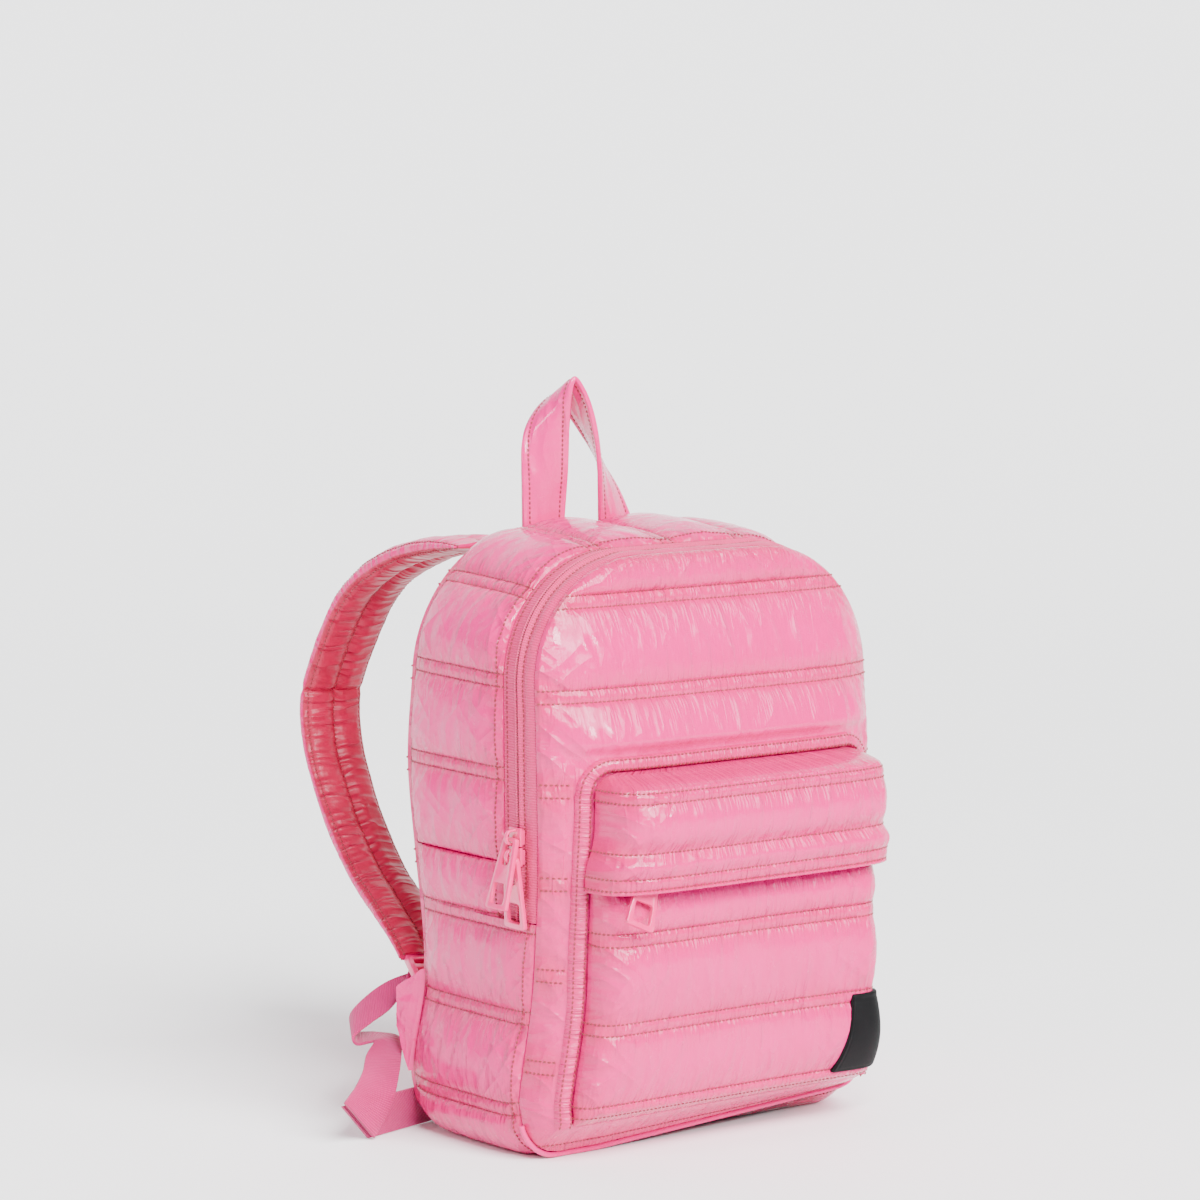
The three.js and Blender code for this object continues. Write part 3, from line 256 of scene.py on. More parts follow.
def nylon(name, roughness=0.24):
    cloth = Recipe(name, roughness, Specular_IOR_Level=0.3, Coat_Weight=0.4, Coat_Roughness=0.1)
    gather, rim = cloth.mark("gather"), cloth.mark("rim")
    broad, dents = cloth.grain(48, 3.0), cloth.grain(150, 3.0, 0.55)
    pleats = cloth.creases(cloth.woven(240, 34))
    puckers = cloth.creases(cloth.woven(40, 150))
    folds = cloth.creases(cloth.woven(70, 22), **long_creases)
    rays = cloth.creases(cloth.slanted(0.012, 0.045, 0.75), **long_creases)
    cross_rays = cloth.creases(cloth.slanted(0.013, 0.05, -0.85), **long_creases)
    drawn = (rim ** 0.35) * (rays + 0.8 * cross_rays)
    weave = cloth.ribs(cloth.woven(2000, 2000), "X") * cloth.ribs(cloth.woven(2000, 2000), "Y")
    pulled = (gather * 0.85 + 0.1) * pleats + 0.3 * rim * puckers
    # Colour: painted shade, deeper where gathered and near the seams, and a painted highlight,
    # lighter on the pleats' crests, over a broad random tone.
    painted_shade_and_tone = (gather * 0.5 + rim * 0.35 + broad * 0.3) - pulled * 0.15
    cloth.feed("Base Color", cloth.between(painted_shade_and_tone.above(), light_pink, deep_pink))
    cloth.feed("Roughness", roughness - 0.06 + 0.16 * dents)
    height = 0.7 * pulled + 0.45 * dents + folds + 1.4 * drawn + 0.015 * weave
    cloth.relief(height, 1.0, 0.9)
    return cloth.material


# %% [markdown]
# The shoulder straps have the same nylon outside. Their inner face, towards the back, is
# painted a deeper pink as painted shade. One attribute on the mesh says which face a point
# belongs to.

# %% The straps' two faces


def strap_nylon(name):
    cloth = Recipe(name, 0.42, Specular_IOR_Level=0.35)
    lined, broad = cloth.mark("lined"), cloth.grain(60, 3.0)
    pleats = cloth.creases(cloth.woven(24, 130), **long_creases)
    outside = cloth.between(broad, deep_pink, light_pink)
    # The inner face's deeper pink is painted shade.
    inside = cloth.between(broad, tint(148, 0, 44), tint(184, 0, 66))
    cloth.feed("Base Color", cloth.between(lined, outside, inside))
    cloth.feed("Roughness", 0.26 + 0.12 * lined)
    cloth.relief(1.1 * pleats + 0.6 * cloth.grain(150, 3.0, 0.55), 1.0, 0.9)
    return cloth.material


# %% [markdown]
# Webbing and zip tape are woven thicker. Both show fine ribs straight across, a little more
# than 1 mm apart, with finer threads running along them.

# %% Webbing and zip tape


def ribbed(name, light, deep, pitch, depth, roughness):
    band = Recipe(name, roughness, Sheen_Weight=0.08, Sheen_Roughness=0.5)
    count = 1000 / pitch
    across = band.ribs(band.woven(count, count), "Y", 0.4)
    threads = band.ribs(band.woven(count * 1.4, count * 1.4), "X")
    worn = band.grain(120)
    # Colour: darker in the ribs' grooves and lighter on their crests, as painted shade, with a
    # random change of tone.
    band.feed("Base Color", band.between(across * 0.6 + worn * 0.4, deep, light))
    band.relief(across + 0.3 * threads, depth, 0.9)
    return band.material


# %% [markdown]
# The sliders and pullers are lacquered metal, smooth under the lacquer with a slight orange
# peel. The patch is black rubber, nearly matt. Thread is a deeper pink than the cloth, partly
# its own colour and partly painted shade for the needle holes and grooves it sits in.

# %% Lacquer, rubber and thread


def lacquer(name):
    metal = Recipe(name, 0.3, Specular_IOR_Level=0.6, Coat_Weight=0.6, Coat_Roughness=0.08)
    peel = metal.grain(500)
    metal.feed("Base Color", metal.between(peel, tint(226, 12, 106), tint(240, 24, 124)))
    metal.feed("Roughness", 0.24 + 0.12 * peel)
    metal.relief(peel, 0.05, 0.5)
    return metal.material


def rubber(name):
    patch = Recipe(name, 0.6, Specular_IOR_Level=0.12)
    grain, broad = patch.grain(1600, 3.0), patch.grain(90)
    patch.feed("Base Color", patch.between(broad, tint(5, 5, 6), tint(12, 12, 14)))
    patch.feed("Roughness", 0.5 + 0.2 * grain)
    patch.relief(grain + 0.6 * broad, 0.12, 0.6)
    return patch.material


def sewing_thread(name):
    thread = Recipe(name, 0.55, Sheen_Weight=0.2)
    twist = thread.grain(900, 1.0)
    # The thread's deep pink is partly its own colour and partly painted shade for the needle holes
    # and grooves.
    thread.feed("Base Color", thread.between(twist, tint(114, 0, 26), tint(146, 0, 36)))
    thread.relief(twist, 0.08, 0.6)
    return thread.material


thread_and_painted_shade = sewing_thread("deep pink thread")
finishes = {
    "pink_fabric": nylon("pink nylon"),
    "strap_fabric": strap_nylon("strap nylon"),
    "webbing": ribbed("ribbed webbing", tint(204, 4, 116), tint(160, 0, 78), 1.1, 0.3, 0.6),
    "zip_fabric": ribbed("zip tape", tint(228, 16, 118), tint(190, 2, 78), 1.3, 0.25, 0.5),
    "pink_lacquer": lacquer("pink lacquer"),
    "black_rubber": rubber("black rubber"),
}
print(len(finishes) + 1, "finishes made")

# %% [markdown]
# The sizes of the body, its zip and its pocket are the same named values that the solids
# use. Short tables say how the stuffed body swells and settles, and one smooth curve is
# drawn through each column.

# %% Sizes and profiles
body_width, body_depth, body_height = 206.0, 93.0, 297.0
top_radius, bottom_radius = 64.0, 16.0
wall, gap = 3.0, 0.3
front_bulge, back_bulge, side_bulge = 20.0, 5.0, 2.5
top_rise, base_lift, corner_lift, edge_start = 3.0, 3.3, 10.0, 0.64
quilt_pitch, quilt_pair, quilt_puff = 45.8, 6.3, 4.5
front_pair_height, fold_seam_height, lower_pair_drop = 276.0, 146.0, 30.0
zip_width, zip_end_height, tape_thick = 23.5, 118.0, 1.2
coil_width, coil_height = 5.4, 1.9
pocket_half_top, pocket_half_bottom = 83.5, 89.5
pocket_bottom, pocket_top = 17.0, 193.0
pocket_zip_height, pocket_mouth_height, pocket_depth = 152.0, 136.0, 26.0
tape_out_low, tape_out_high = 0.5, 0.26
pocket_wall, pocket_fill, flap_wall, flap_overhang = 2.6, 0.4, 3.4, 5.0
frame_band, frame_thick, frame_corner = 6.5, 3.0, 14.0
frame_offset = frame_band / 2 + 2 * gap
frame_reach = frame_offset + frame_band / 2 + 2 * gap
binding_radius = 1.4
front_seam, back_seam = -body_depth / 2, body_depth / 2
zip_rear, zip_middle = front_seam + zip_width, front_seam + zip_width / 2

body_profile = np.array([
    # share of height, width, front, back, bulge, how squarely the front bulges
    (0.000, 1.000, 0.93, 0.95, 0.00, 24),
    (0.057, 1.020, 0.90, 0.99, 0.86, 24),
    (0.100, 1.030, 0.88, 1.02, 0.96, 24),
    (0.250, 0.985, 0.95, 0.93, 0.98, 15),
    (0.340, 0.985, 1.02, 0.93, 0.98, 9),
    (0.480, 1.000, 1.12, 1.03, 0.98, 6),
    (0.630, 1.005, 1.12, 1.14, 1.00, 6),
    (0.780, 1.000, 1.07, 1.06, 0.60, 6),
    (0.900, 1.000, 1.02, 0.98, 0.25, 6),
    (1.000, 1.000, 1.00, 0.95, 0.00, 6),
])
pocket_profile = np.array([
    # share of height, how far the pocket's face stands out
    (0.00, 0.10), (0.05, 0.38), (0.10, 0.46), (0.26, 0.62), (0.45, 0.65),
    (0.65, 0.68), (0.80, 0.62), (0.90, 0.58), (1.00, 0.50),
])
flap_profile = np.array([
    # share of the drop, how far out, how far over the frame
    (0.00, 0.10, 0.0), (0.03, 0.45, 0.0), (0.08, 0.92, 0.0), (0.13, 1.02, 0.0),
    (0.21, 1.03, 0.0), (0.36, 1.12, 0.0), (0.52, 1.10, 0.0), (0.65, 0.97, 0.3),
    (0.76, 1.07, 0.8), (0.87, 1.00, 1.0), (1.00, 0.98, 1.0),
])


def read(table, column, at):
    """A smooth curve through one column of a table, for numbers or whole arrays."""
    places, values = table[:, 0], table[:, column]
    slopes = np.zeros(len(places))
    slopes[1:-1] = (values[2:] - values[:-2]) / (places[2:] - places[:-2])
    at = np.clip(at, places[0], places[-1])
    k = np.clip(np.searchsorted(places, at, side="right") - 1, 0, len(places) - 2)
    span = places[k + 1] - places[k]
    t = (at - places[k]) / span
    rise = (2 * t**3 - 3 * t**2 + 1) * values[k] + (-2 * t**3 + 3 * t**2) * values[k + 1]
    return rise + span * ((t**3 - 2 * t**2 + t) * slopes[k] + (t**3 - t**2) * slopes[k + 1])


# %% [markdown]
# The body is drawn as one outline seen from the front, with a large arch at the top and small
# rounds at the bottom. A place on the sides is a length along this outline and a place
# across the depth. Then the whole bag settles: it leans out where it is stuffed and sinks
# in at its waist.

# %% The outline and how the bag settles
top_flat = body_width / 2 - top_radius
top_arc = top_radius * math.pi / 2
side_flat = body_height - top_radius - bottom_radius
bottom_arc = bottom_radius * math.pi / 2
bottom_flat = body_width / 2 - bottom_radius
corner_length = top_flat + top_arc + side_flat
half_outline = corner_length + bottom_arc + bottom_flat


def outline(length):
    """Place (x, z) and outward direction (nx, nz) at a length from the top's middle."""
    side = np.where(length < 0, -1.0, 1.0)
    rest = np.abs(length)
    turn = np.clip((rest - top_flat) / top_radius, 0, math.pi / 2)
    low_turn = np.clip((rest - corner_length) / bottom_radius, 0, math.pi / 2)
    x = np.minimum(rest, top_flat) + top_radius * np.sin(turn)
    x = x - bottom_radius * (1 - np.cos(low_turn))
    x = x - np.clip(rest - corner_length - bottom_arc, 0, None)
    z = body_height - top_radius * (1 - np.cos(turn))
    z = z - np.clip(rest - top_flat - top_arc, 0, side_flat) - bottom_radius * np.sin(low_turn)
    angle = turn + low_turn
    return side * x, z, side * np.sin(angle), np.cos(angle)


def length_at(height):
    return top_flat + top_arc + body_height - top_radius - height


def half_width(height):
    rise = np.clip(height - (body_height - top_radius), 0, top_radius)
    drop = np.clip(bottom_radius - height, 0, bottom_radius)
    arch = top_flat + np.sqrt(np.maximum(top_radius**2 - rise**2, 0))
    foot = bottom_flat + np.sqrt(np.maximum(bottom_radius**2 - drop**2, 0))
    return np.minimum(arch, foot)


def settled(x, y, z):
    x, y, z = np.broadcast_arrays(x, y, z)
    share = np.clip(z / body_height, 0, 1)
    half = body_depth / 2
    across = np.clip(y / half, -1, 1)
    depth = np.where(across < 0, read(body_profile, 2, share), read(body_profile, 3, share))
    edge = np.clip((np.abs(across) - edge_start) / (1 - edge_start), 0, None)
    slump = np.where(across < 0, np.clip((x / body_width + 0.3) / 0.8, 0, 1), 0)
    lift = base_lift * edge**2 * (1 - share) ** 8
    lift = lift + corner_lift * slump * edge**2 * (1 - share) ** 30
    points = (
        x * read(body_profile, 1, share),
        across * half * depth + (y - across * half),
        z + top_rise * share**4 * across + lift,
    )
    return np.stack(points, axis=-1)


def swell(x, height):
    across = np.clip(x / half_width(height), -1, 1)
    share = height / body_height
    edge = 1 - np.abs(across) ** read(body_profile, 5, share)
    return front_bulge * read(body_profile, 4, share) * edge


def face_y(x, height):
    return front_seam - gap - wall - swell(x, height)


print("half of the outline is", round(half_outline), "mm long")

# %% [markdown]
# Stitching gathers the cloth. Beside each line the nylon buckles into small creases that run
# square to the line and die out over the padding, and the narrow strip inside a pair is
# gathered from edge to edge. They are made as heights in code, from seeded noise that is
# long in one direction and short in the other, because they follow the seams exactly. A
# cloth simulation would lose them in its remesh.

# %% Gathers beside the stitched lines
crease_length, crease_reach, crease_depth = 4.6, 8.0, 0.42
strip_puff, strip_width = 1.1, 1.5 * quilt_pair
noise_size = 256


def eased(t):
    return t * t * (3 - 2 * t)


def held(share, power):
    """1 over the middle of a face, falling to 0 at its edges."""
    return np.clip(1 - np.abs(share) ** power, 0, None)


def bump(distance, reach, power=2):
    return np.exp(-((distance / reach) ** power))


def grid(rows, columns):
    return np.meshgrid(rows, columns, indexing="ij")


def noise_rows(seed, rows, samples=1024):
    return np.random.default_rng(seed).uniform(-1, 1, (rows, samples))


def along_rows(values, row, place):
    """Smooth noise along one direction, from the row of values that each point names."""
    k = np.floor(place).astype(int)
    t = eased(place - k)
    size = values.shape[1]
    return values[row, k % size] * (1 - t) + values[row, (k + 1) % size] * t


def smooth_noise(seed, u, v):
    values = noise_rows(seed, noise_size, noise_size)
    i, j = np.floor(u).astype(int), np.floor(v).astype(int)
    s, t = eased(u - i), eased(v - j)
    i, j, right, up = (k % noise_size for k in (i, j, i + 1, j + 1))
    low = values[i, j] * (1 - s) + values[right, j] * s
    high = values[i, up] * (1 - s) + values[right, up] * s
    return low * (1 - t) + high * t


def ridge(value):
    return (1 - np.abs(value)) ** 2 - 0.35


def channel(across, lines):
    """The number of the channel that each place lies in, and the lines on its two sides."""
    lines = np.asarray(lines)
    k = np.clip(np.searchsorted(lines, across, side="right"), 1, len(lines) - 1)
    return k - 1, lines[k - 1], lines[k]


def quilting(along, across, lines, seed, puff=quilt_puff):
    """How far quilted cloth stands out between the stitched lines, gathers included."""
    k, low, high = channel(across, lines)
    width = high - low
    t = np.clip((across - low) / width, 0, 1)
    strip = width < strip_width
    hump = np.maximum(4 * t * (1 - t), 0)
    stand = np.where(strip, strip_puff * hump**0.8, puff * hump**0.62)
    rows = noise_rows(seed, 2 * len(lines))
    drift = 3.0 * smooth_noise(seed + 1, along / 31, across / 23)
    gathers = 0
    for side, distance in ((0, across - low), (1, high - across)):
        row = 2 * k + side
        place = (along + drift + 0.35 * distance * (1 - 2 * side)) / crease_length + 400
        fine = along_rows(rows, row, place * 1.9)
        crease = ridge(along_rows(rows, row, place)) + 0.45 * ridge(fine)
        fade = np.exp(-distance / crease_reach) * (1 - np.exp(-distance / 1.1))
        gathers = gathers + crease_depth * 1.9 * crease * fade
    ribs = 0.55 * ridge(along_rows(rows, 2 * k, (along + drift * 0.4) / 2.6 + 400)) * hump**0.5
    long = ridge(smooth_noise(seed + 2, (along + 0.3 * across + drift) / 8.5, across / 60))
    soft = smooth_noise(seed + 3, along / 37, across / 26)
    folds = (0.5 * long + 0.7 * soft) * hump**0.6
    return stand + np.where(strip, ribs, gathers + folds)


def near_lines(across, lines, reach=7.0):
    """1 on a stitched line and inside a pair, and falling to 0 over the padding."""
    _, low, high = channel(across, lines)
    near = np.exp(-np.minimum(across - low, high - across) / reach)
    return np.where(high - low < strip_width, 1.0, near)


def seam_gathers(along, distance, seed, depth=0.5, reach=9.0):
    """Creases that run out from a seam at the edge of a piece."""
    rows = noise_rows(seed, 1)
    crease = ridge(along_rows(rows, 0, along / 5.2 + 300))
    crease = crease + 0.5 * ridge(along_rows(rows, 0, along / 2.3 + 90))
    return depth * crease * np.exp(-distance / reach) * (1 - np.exp(-distance / 1.5))


def pair_lines(first, start, end):
    """Both stitched lines of each pair between two ends, with the ends themselves."""
    centres = first + quilt_pitch * np.arange(-12, 13)
    lines = np.concatenate([centres - quilt_pair / 2, centres + quilt_pair / 2])
    inside = [float(line) for line in lines if start + 2.5 < line < end - 2.5]
    return sorted([start, end, *inside])


def spread(lines, step):
    """Rows for a grid: a row on each line, and closer rows beside the lines."""
    rows = [lines[0]]
    for low, high in zip(lines[:-1], lines[1:]):
        count = max(3, round((high - low) / step))
        t = np.arange(1, count + 1) / count
        t = 0.55 * t + 0.45 * (0.5 - 0.5 * np.cos(math.pi * t))
        rows.extend(low + (high - low) * t)
    return np.array(rows)


# %% [markdown]
# Each cloth wall is a closed shell between two grids of points, an outer and an inner one.
# The grid also gives the cloth its UV map in metres, so weave and creases can follow it.

# %% Shells, tubes and plain meshes from points
cloth_step = 1.7
seam_fade = 9.0


def mesh_piece(name, points, faces, uv=None, sharp=50):
    """A smooth mesh from points in millimetres. A face drops a corner that it repeats."""
    mesh = bpy.data.meshes.new(name)
    corners = [list(dict.fromkeys(face)) for face in faces.tolist()]
    mesh.from_pydata((points * mm).tolist(), [], corners)
    if uv is not None:
        layer = mesh.uv_layers.new(name="cloth")
        at = np.empty(len(mesh.loops), dtype=int)
        mesh.loops.foreach_get("vertex_index", at)
        layer.data.foreach_set("uv", (uv[at] * mm).ravel())
    mesh.shade_smooth()
    mesh.set_sharp_from_angle(angle=math.radians(sharp))
    return shown(name, mesh)


def mark(piece, word, values):
    values = np.broadcast_to(values, len(piece.data.vertices)).astype(np.float32)
    piece.data.attributes.new(word, "FLOAT", "POINT").data.foreach_set("value", values)


def inside_out(points, faces):
    a, b, c, d = (points[faces[:, k]] for k in range(4))
    return np.einsum("ij,ij->", a, np.cross(b, c) + np.cross(c, d)) < 0


def grid_faces(rows, columns, start=0, flip=False):
    i, j = grid(np.arange(rows - 1), np.arange(columns - 1))
    a = (start + i * columns + j).ravel()
    faces = np.stack([a, a + 1, a + columns + 1, a + columns], axis=1)
    return faces[:, ::-1] if flip else faces


def shell(name, outer, inner, uv, gather=0.0, rim=0.0):
    """A closed wall between an outer and an inner grid, with marks for where it is gathered."""
    rows, columns = outer.shape[:2]
    count = rows * columns
    index = np.arange(count).reshape(rows, columns)
    border = np.concatenate([index[0, :-1], index[:-1, -1], index[-1, :0:-1], index[:0:-1, 0]])
    after = np.roll(border, -1)
    sides = np.stack([after, border, border + count, after + count], axis=1)
    back = grid_faces(rows, columns, count, True)
    faces = np.concatenate([grid_faces(rows, columns), back, sides])
    points = np.concatenate([outer.reshape(-1, 3), inner.reshape(-1, 3)])
    if inside_out(points, faces):
        faces = faces[:, ::-1]
    piece = mesh_piece(name, points, faces, np.tile(uv.reshape(-1, 2), (2, 1)))
    for word, values in (("gather", gather), ("rim", rim)):
        mark(piece, word, np.tile(np.broadcast_to(values, (rows, columns)).ravel(), 2))
    return piece


def tube(name, rings, uv=None, sharp=50):
    """A closed sweep through rings of points, with its ends filled."""
    steps, sides = rings.shape[:2]
    k, j = grid(np.arange(steps - 1), np.arange(sides))
    a, b = (k * sides + j).ravel(), (k * sides + (j + 1) % sides).ravel()
    side = np.arange(sides)
    step, end, middle = (side + 1) % sides, (steps - 1) * sides, np.full(sides, steps * sides)
    faces = np.concatenate([
        np.stack([a, b, b + sides, a + sides], axis=1),
        np.stack([step, side, middle, middle], axis=1),
        np.stack([end + side, end + step, middle + 1, middle + 1], axis=1),
    ])
    middles = [rings[0].mean(axis=0), rings[-1].mean(axis=0)]
    points = np.concatenate([rings.reshape(-1, 3), middles])
    if inside_out(points, faces):
        faces = faces[:, [0, 3, 2, 1]]
    if uv is not None:
        uv = np.concatenate([uv.reshape(-1, 2), uv.reshape(-1, 2)[[0, -1]]])
    return mesh_piece(name, points, faces, uv, sharp)


def dress(piece, slot, *nodes, body="bag", fill=None):
    """Puts a piece in place of its nodes, with its body and its finish. The fill is not used."""
    if not piece.data.materials:
        piece.data.materials.append(finishes[slot])
    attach(piece, body)
    if nodes:
        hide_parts(*nodes)
    return piece


def quilted(word, node, outer, inner, uv, near, rim, fill=0.5):
    """A padded wall with its marks: near a stitched line, and near a seam by its distance."""
    piece = shell(f"quilted_{word}", outer, inner, uv, near, np.exp(-rim / seam_fade))
    return dress(piece, "pink_fabric", node, fill=fill)


# %% [markdown]
# A stitched line is kept while its piece is made: its points, and the way the cloth faces
# there. The stitches themselves are laid on these lines further down.

# %% Keeping the stitched lines
seams = {"front": [], "back": [], "sides": [], "pocket": [], "straps": [], "zip": []}
middle_of_bag = np.array([0.0, 0.0, body_height / 2])


def unit(vectors):
    return vectors / np.linalg.norm(vectors, axis=-1, keepdims=True)


def grid_facing(grid):
    """The way a grid of points faces, away from the middle of the bag."""
    normal = unit(np.cross(np.gradient(grid, axis=1), np.gradient(grid, axis=0)))
    inward = ((normal * (grid - middle_of_bag)).sum(axis=-1) < 0).mean() > 0.5
    return -normal if inward else normal


def keep_line(group, points, facing, shown=None, lift=0.12):
    """Keeps one stitched line, in as many runs as it shows."""
    shown = np.ones(len(points), dtype=bool) if shown is None else shown
    starts = np.flatnonzero(shown & ~np.roll(shown, 1) | (np.arange(len(points)) == 0) & shown)
    for start in starts:
        stop = start
        while stop < len(points) and shown[stop]:
            stop += 1
        if stop - start > 3:
            run = slice(start, stop)
            seams[group].append((points[run] + facing[run] * lift, facing[run]))


def keep_rows(group, grid, rows, lines, shown=None):
    facing = grid_facing(grid)
    for line in lines:
        k = int(np.argmin(np.abs(np.asarray(rows) - line)))
        keep_line(group, grid[k], facing[k], None if shown is None else shown[k])


# %% [markdown]
# The front and back are single quilted panels. The front one is held flat where the pocket
# is sewn on, and free above it, where it shows the widest channels of the bag.

# %% Front and back panels


def pocket_half(height):
    share = np.clip((height - pocket_bottom) / (pocket_top - pocket_bottom), 0, 1)
    turn = frame_corner - frame_offset
    rise = np.clip(height - (pocket_top - turn), 0, turn)
    inset = turn - np.sqrt(np.maximum(turn**2 - rise**2, 0))
    return pocket_half_bottom + (pocket_half_top - pocket_half_bottom) * share - inset


def free_of_pocket(x, height):
    """0 where the pocket holds the panel flat, 1 away from it."""
    beside = np.abs(x) - pocket_half(np.minimum(height, pocket_top - frame_corner)) - frame_reach
    above = height - pocket_top - frame_reach
    clear = np.maximum(np.maximum(beside, above), pocket_bottom - frame_reach - height)
    t = np.clip(clear / frame_band, 0, 1)
    return eased(t)


panel_power, pocket_power, seen_stitch = 12, 30, 0.04


def side_shares(count, turn):
    """Places from side to side, -1 to 1, closer together near the edges."""
    return np.sin(np.linspace(-1, 1, count) * turn) / math.sin(turn)


def panel_grid(step=cloth_step):
    lines = pair_lines(front_pair_height, 0.0, body_height)
    count = 2 * round(body_width / 2 / step) + 1
    height, across = grid(spread(lines, step), side_shares(count, 1.35))
    return lines, across * half_width(height), height, across


def flat_uv(x, height):
    return np.stack([x, height], axis=-1)


def make_front_panel():
    lines, x, height, across = panel_grid()
    rim = np.minimum(half_width(height) - np.abs(x), body_height - height)
    relief = quilting(x, height, lines, 11) * held(across, panel_power)
    relief = relief + seam_gathers(height + x * 0.8, rim, 12, depth=0.9)
    free = free_of_pocket(x, height)
    outer = settled(x, face_y(x, height) - relief * free, height)
    inner = settled(x, front_seam - gap - swell(x, height), height)
    keep_rows("front", outer, height[:, 0], lines[1:-1], free > seen_stitch)
    near = near_lines(height, lines)
    return quilted("front", "front_panel", outer, inner, flat_uv(x, height), near, rim)


def make_back_panel():
    lines, x, height, across = panel_grid(2.2)
    rim = half_width(height) - np.abs(x)
    crown = back_bulge * np.sin(math.pi * height / body_height) * (1 - across**6)
    relief = quilting(x, height, lines, 21, quilt_puff / 2) * held(across, panel_power)
    relief = relief + seam_gathers(height, rim, 22)
    outer = settled(x, back_seam + gap + wall + crown + relief, height)
    inner = settled(x, back_seam + gap + crown, height)
    keep_rows("back", outer, height[:, 0], lines[1:-1])
    near = near_lines(height, lines)
    return quilted("back", "back_panel", outer, inner, flat_uv(x, height), near, rim, 0.4)


front = make_front_panel()
back = make_back_panel()
print("front panel", len(front.data.polygons), "faces")

# %% [markdown]
# The sides, top and bottom are two long bands that follow the outline. The upper one runs
# over the arch behind the zip. The lower one starts under a folded seam on each side and
# passes under the bag. Near the zip's ends it widens to the front seam.

# %% The gussets
fold_length = length_at(fold_seam_height)
zip_end_length = length_at(zip_end_height)
floor_clear = 0.02
edge_stitch_share = 0.045


def mirror_length(length):
    """The same length on the first side, for a length that has passed under the bag."""
    return np.minimum(length, 2 * half_outline - length)


def make_gusset(word, node, lengths, lines, stitched, depth, seed):
    count = round((back_seam - zip_rear) / cloth_step) + 6
    shares = 0.5 - 0.5 * np.cos(np.linspace(0, math.pi, count))
    length, share = grid(lengths, shares)
    place = mirror_length(length)
    start = np.where(place <= zip_end_length, zip_rear + gap, front_seam + gap)
    y = start + (back_seam - gap - start) * share
    rim = np.minimum(share, 1 - share)
    puffed = held(2 * share - 1, 4) ** 0.6 * (side_bulge + quilting(y, place, lines, seed))
    under = np.clip((place - corner_length) / bottom_arc, 0, 1)
    out = (puffed + seam_gathers(length, rim * depth, seed + 1, 0.7)) * (1 - under)
    x, z, nx, nz = outline(np.where(length > half_outline, length - 2 * half_outline, length))
    outer = settled(x + nx * out, y, z + nz * out)
    outer[..., 2] = np.maximum(outer[..., 2], floor_clear)
    inner = settled(x - nx * wall, y, z - nz * wall)
    keep_rows("sides", outer, lengths, stitched)
    edge = int(np.argmin(np.abs(shares - edge_stitch_share)))
    keep_line("sides", outer[:, edge], grid_facing(outer)[:, edge])
    uv, near = np.stack([y, length], axis=-1), near_lines(place, lines)
    return quilted(word, node, outer, inner, uv, near, rim * (back_seam - zip_rear))


def make_upper_gusset():
    lines = pair_lines(0.0, -fold_length + gap, fold_length - gap)
    depth = back_seam - zip_rear
    rows = spread(lines, cloth_step)
    return make_gusset("arch", "gusset_upper", rows, lines, lines[1:-1], depth, 31)


def make_lower_gusset():
    side_end = corner_length + bottom_arc
    lines = pair_lines(fold_length + lower_pair_drop, fold_length + gap, side_end)
    rows = spread(lines, cloth_step)
    rows = rows[np.abs(rows - zip_end_length) > 0.6]
    rows = np.sort(np.concatenate([rows, [zip_end_length, zip_end_length + gap]]))
    rows = np.concatenate([rows, np.linspace(side_end, half_outline, 16)[1:]])
    lengths = np.concatenate([rows, 2 * half_outline - rows[-2::-1]])
    stitched = lines[1:-1] + [2 * half_outline - line for line in lines[1:-1]]
    depth = back_seam - front_seam
    return make_gusset("base", "gusset_lower", lengths, lines, stitched, depth, 41)


arch = make_upper_gusset()
base = make_lower_gusset()
print("gussets", len(arch.data.polygons) + len(base.data.polygons), "faces")

# %% [markdown]
# The pocket's face is quilted too and stands out from the panel, with steep sides. Its flap
# is one deep padded piece with a tuck stitched along its middle. Its two free ends reach
# past the frame.

# %% Pocket and flap
pocket_lines = [17.0, 22.0, 28.0, 64.7, 70.4, 109.0, 115.3, 136.0]
flap_height = pocket_top - pocket_mouth_height
flap_lines = np.array([0.0, 0.13, 0.22, 0.65, 0.865, 0.965, 1.0]) * flap_height


def side_shape(share, power):
    return held(share, power) ** 0.45


def pocket_face(share, height, inset=0.0, relief=0.0):
    rise = (height - pocket_bottom) / (pocket_mouth_height - pocket_bottom)
    out = read(pocket_profile, 1, rise) * pocket_depth + relief
    full = 1 + pocket_fill * np.clip(share, 0, 1) ** 2
    stand = pocket_wall + np.clip(out - pocket_wall, 0, None) * full * side_shape(share, 20)
    x = share * (pocket_half(height) - inset)
    return settled(x, face_y(x, height) - gap - stand + inset, height)


def make_pocket():
    heights = spread(pocket_lines, cloth_step)
    height, share = grid(heights, side_shares(121, 1.45))
    x = share * pocket_half(height)
    rim = (1 - np.abs(share)) * pocket_half_bottom
    relief = quilting(x, height, pocket_lines, 51, 3.2) + seam_gathers(height, rim, 52, 0.8)
    outer = pocket_face(share, height, relief=relief * held(share, pocket_power))
    inner = pocket_face(share, height, inset=pocket_wall)
    keep_rows("pocket", outer, heights, pocket_lines[1:-1])
    near = near_lines(height, pocket_lines)
    return quilted("pocket", "front_pocket", outer, inner, flat_uv(x, height), near, rim)


